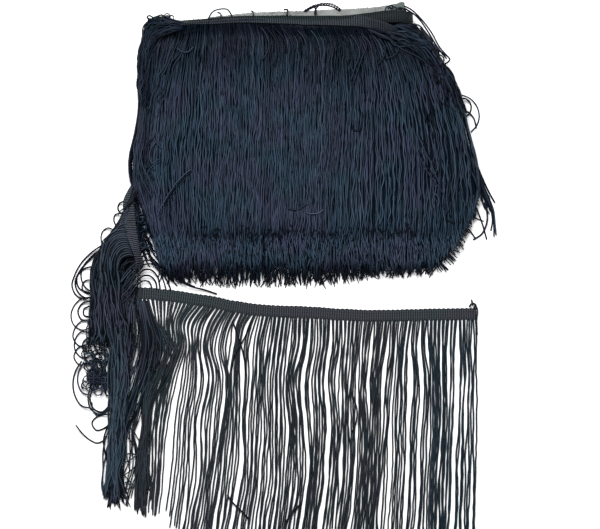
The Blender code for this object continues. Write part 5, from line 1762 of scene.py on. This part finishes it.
# %% Stray yarns at the top and right
TOP_STRAYS = (
    ((-121.5, 226), (-124, 229), (-122.5, 230.5), (-119, 229), (-116, 226)),
    ((-117, 226), (-114, 227.2), (-111.4, 229.2), (-108.0, 229.2), (-105.5, 227), (-102.5, 225)),
    ((-116, 227.5), (-112, 226.8), (-109, 227.8), (-106.5, 229.5), (-103.5, 227), (-101.0, 224.5)),
    ((-112, 225), (-110.5, 228), (-107.5, 229.8), (-106.0, 227.5), (-108.5, 225.5)),
    ((114, 221), (120, 219), (126, 213), (131, 205)),
    ((90.9, 234.1), (91.8, 237.2), (94.5, 239), (96.3, 236.8), (99, 238.6), (102.7, 236.8),
     (106.3, 236.3)),
    ((93.6, 236.3), (95.4, 239.5), (97.2, 240), (98.1, 237.2)),
    ((100.9, 235.9), (103.6, 237.7), (107.2, 237.2), (109.9, 235.4)),
    ((140.6, 190.3), (137.9, 193), (140.6, 194.8), (144.2, 192.1), (143.3, 187.5), (138.8, 186.6),
     (137, 190.3)),
    ((134.3, 204.7), (137.9, 199.3), (135.2, 193.9), (139.7, 189.3), (146, 186.6)),
    ((132.5, 199.3), (137, 202), (139.7, 194.8), (137, 187.5)),
    ((-68.5, 228), (-65, 233.5), (-58, 236.5), (-51.5, 236), (-48, 231.5), (-47, 230)),
    ((-57, 230), (-58, 232.5), (-60.5, 233.5)),
    ((-28, 230.5), (-28.5, 234), (-30.5, 235)),
    ((2.5, 230.5), (2.5, 236), (-0.5, 236)),
    ((108, 239), (112.5, 237), (123, 228), (132.5, 216), (141.5, 200.5), (148, 193.5)),
    ((108.5, 237), (119, 230), (130.5, 215), (138, 202.5), (147, 191.5)),
    ((134, 200.5), (142.5, 197), (149.5, 190.5), (145, 187), (139, 189.5)),
    ((116, 222.5), (121.5, 221.5), (127, 216), (133.5, 207), (135, 199)),
    ((138, 186), (146, 184.5), (152.5, 177), (155, 166)),
)
RIGHT_STRAYS = (
    ((155, 159), (161.5, 159), (169, 156), (175, 149), (177, 139.5), (174.5, 131.5), (169.5, 126)),
    ((158, 156), (165, 156), (169.5, 150.5), (168, 142.5), (162.5, 139)),
    ((158, 146), (165, 145), (171.5, 139.5), (174.5, 129.5)),
    ((174.5, 96), (179, 86), (182.5, 78.5), (187, 69.5), (191.5, 61.5)),
    ((172.5, 89.5), (177, 81.5), (183.5, 68.5), (189, 55), (190.5, 41.5), (190.5, 30.5)),
    ((172, 87), (177.5, 78), (184, 66), (188, 54), (189, 44), (187.5, 36)),
    ((173, 91), (179, 80), (185, 68), (190, 55), (191.5, 42), (192.5, 32)),
    ((170.5, 64), (176, 53), (180.5, 40.5), (184, 28)),
    ((181.5, 61.5), (184, 53), (183.5, 42), (179, 33), (171.5, 28)),
    ((162.5, 44), (168, 37), (173.5, 29.5)),
    ((138, 13), (142.5, 7), (149, 0.5)),
)
RIGHT_LOCK = (
    ((173.5, 96, 12), (174.3, 89.6, 11), (175.3, 77.8, 8), (179, 64.2, 4), (184, 50.0, 1.5)),
    ((175.0, 96, 12), (176.5, 89.6, 11), (179.8, 78.7, 8), (185.5, 66, 4), (190.5, 52.0, 1.5)),
)
print("stray yarns:", len(TOP_STRAYS) + len(RIGHT_STRAYS))

# %% Crochet chain at the top
CHAIN_ARC = (
    (17.7, 235.1), (23.2, 238.4), (30.4, 241.0), (36.7, 241.9), (43.1, 241.2), (47.6, 239.0),
    (51.2, 236.2),
)
CHAIN_INNER = (
    (18.5, 234.8), (24.0, 237.5), (30.5, 240.0), (36.7, 240.3), (42.5, 239.4), (47.0, 237.3),
    (50.5, 235.4),
)
CHAIN_LEGS = (((26, 240.5), (28.5, 236), (28.5, 232)), ((31.5, 240.5), (28, 236), (27, 231.5)))
CHAIN_STRANDS = 2
CHAIN_TWISTS = 7.0
CHAIN_HEIGHT = 18.5
CHAIN_STEPS = 60


def chain_arc(arc, seed):
    """A short length of crochet chain: two yarns twisted round each other along an arc."""
    draw = np.random.default_rng(seed)
    middle = through(arc, CHAIN_STEPS)
    plaits = []
    for strand in range(CHAIN_STRANDS):
        phase = math.tau * strand / CHAIN_STRANDS
        turn = np.linspace(0.0, CHAIN_TWISTS * math.tau, CHAIN_STEPS) + phase
        x = middle[:, 0] + 0.2 * np.cos(turn)
        y = middle[:, 1] + 0.55 * np.sin(turn)
        z = CHAIN_HEIGHT + 0.5 * np.cos(turn) + draw.uniform(-0.1, 0.1)
        plaits.append(np.stack([x, y, z], axis=1))
    return np.array(plaits)


# %% Stray yarns
TOP_HEIGHTS = (31.0, 28.0, 24.0, 24.0, 22.0)
RIGHT_HEIGHTS = (10.0, 5.0, 2.0, 1.0, 1.2)
LEG_HEIGHTS = (18.5, 19.0, 24.0)
LOCK_YARN = 1.4
LEG_YARN = 1.5
CHAIN_YARN = 1.0
stray_groups = [(thread(points, TOP_HEIGHTS), LOOP_YARN, 0.05) for points in TOP_STRAYS]
stray_groups += [(thread(points, RIGHT_HEIGHTS), LOOP_YARN, 0.1) for points in RIGHT_STRAYS]
stray_groups.append((lay(RIGHT_LOCK, 9, 22, 1.0, 0.3, np.random.default_rng(92), 0.14), LOCK_YARN, 0.1))
stray_groups += [(thread(points, LEG_HEIGHTS), LEG_YARN, 0.05) for points in CHAIN_LEGS]
stray_groups.append((chain_arc(CHAIN_ARC, 91), CHAIN_YARN, 0.05))
stray_groups.append((chain_arc(CHAIN_INNER, 93), CHAIN_YARN, 0.05))
strays = yarn_piece("stray_yarns", stray_groups, wound_yarn, 8, sides=5)
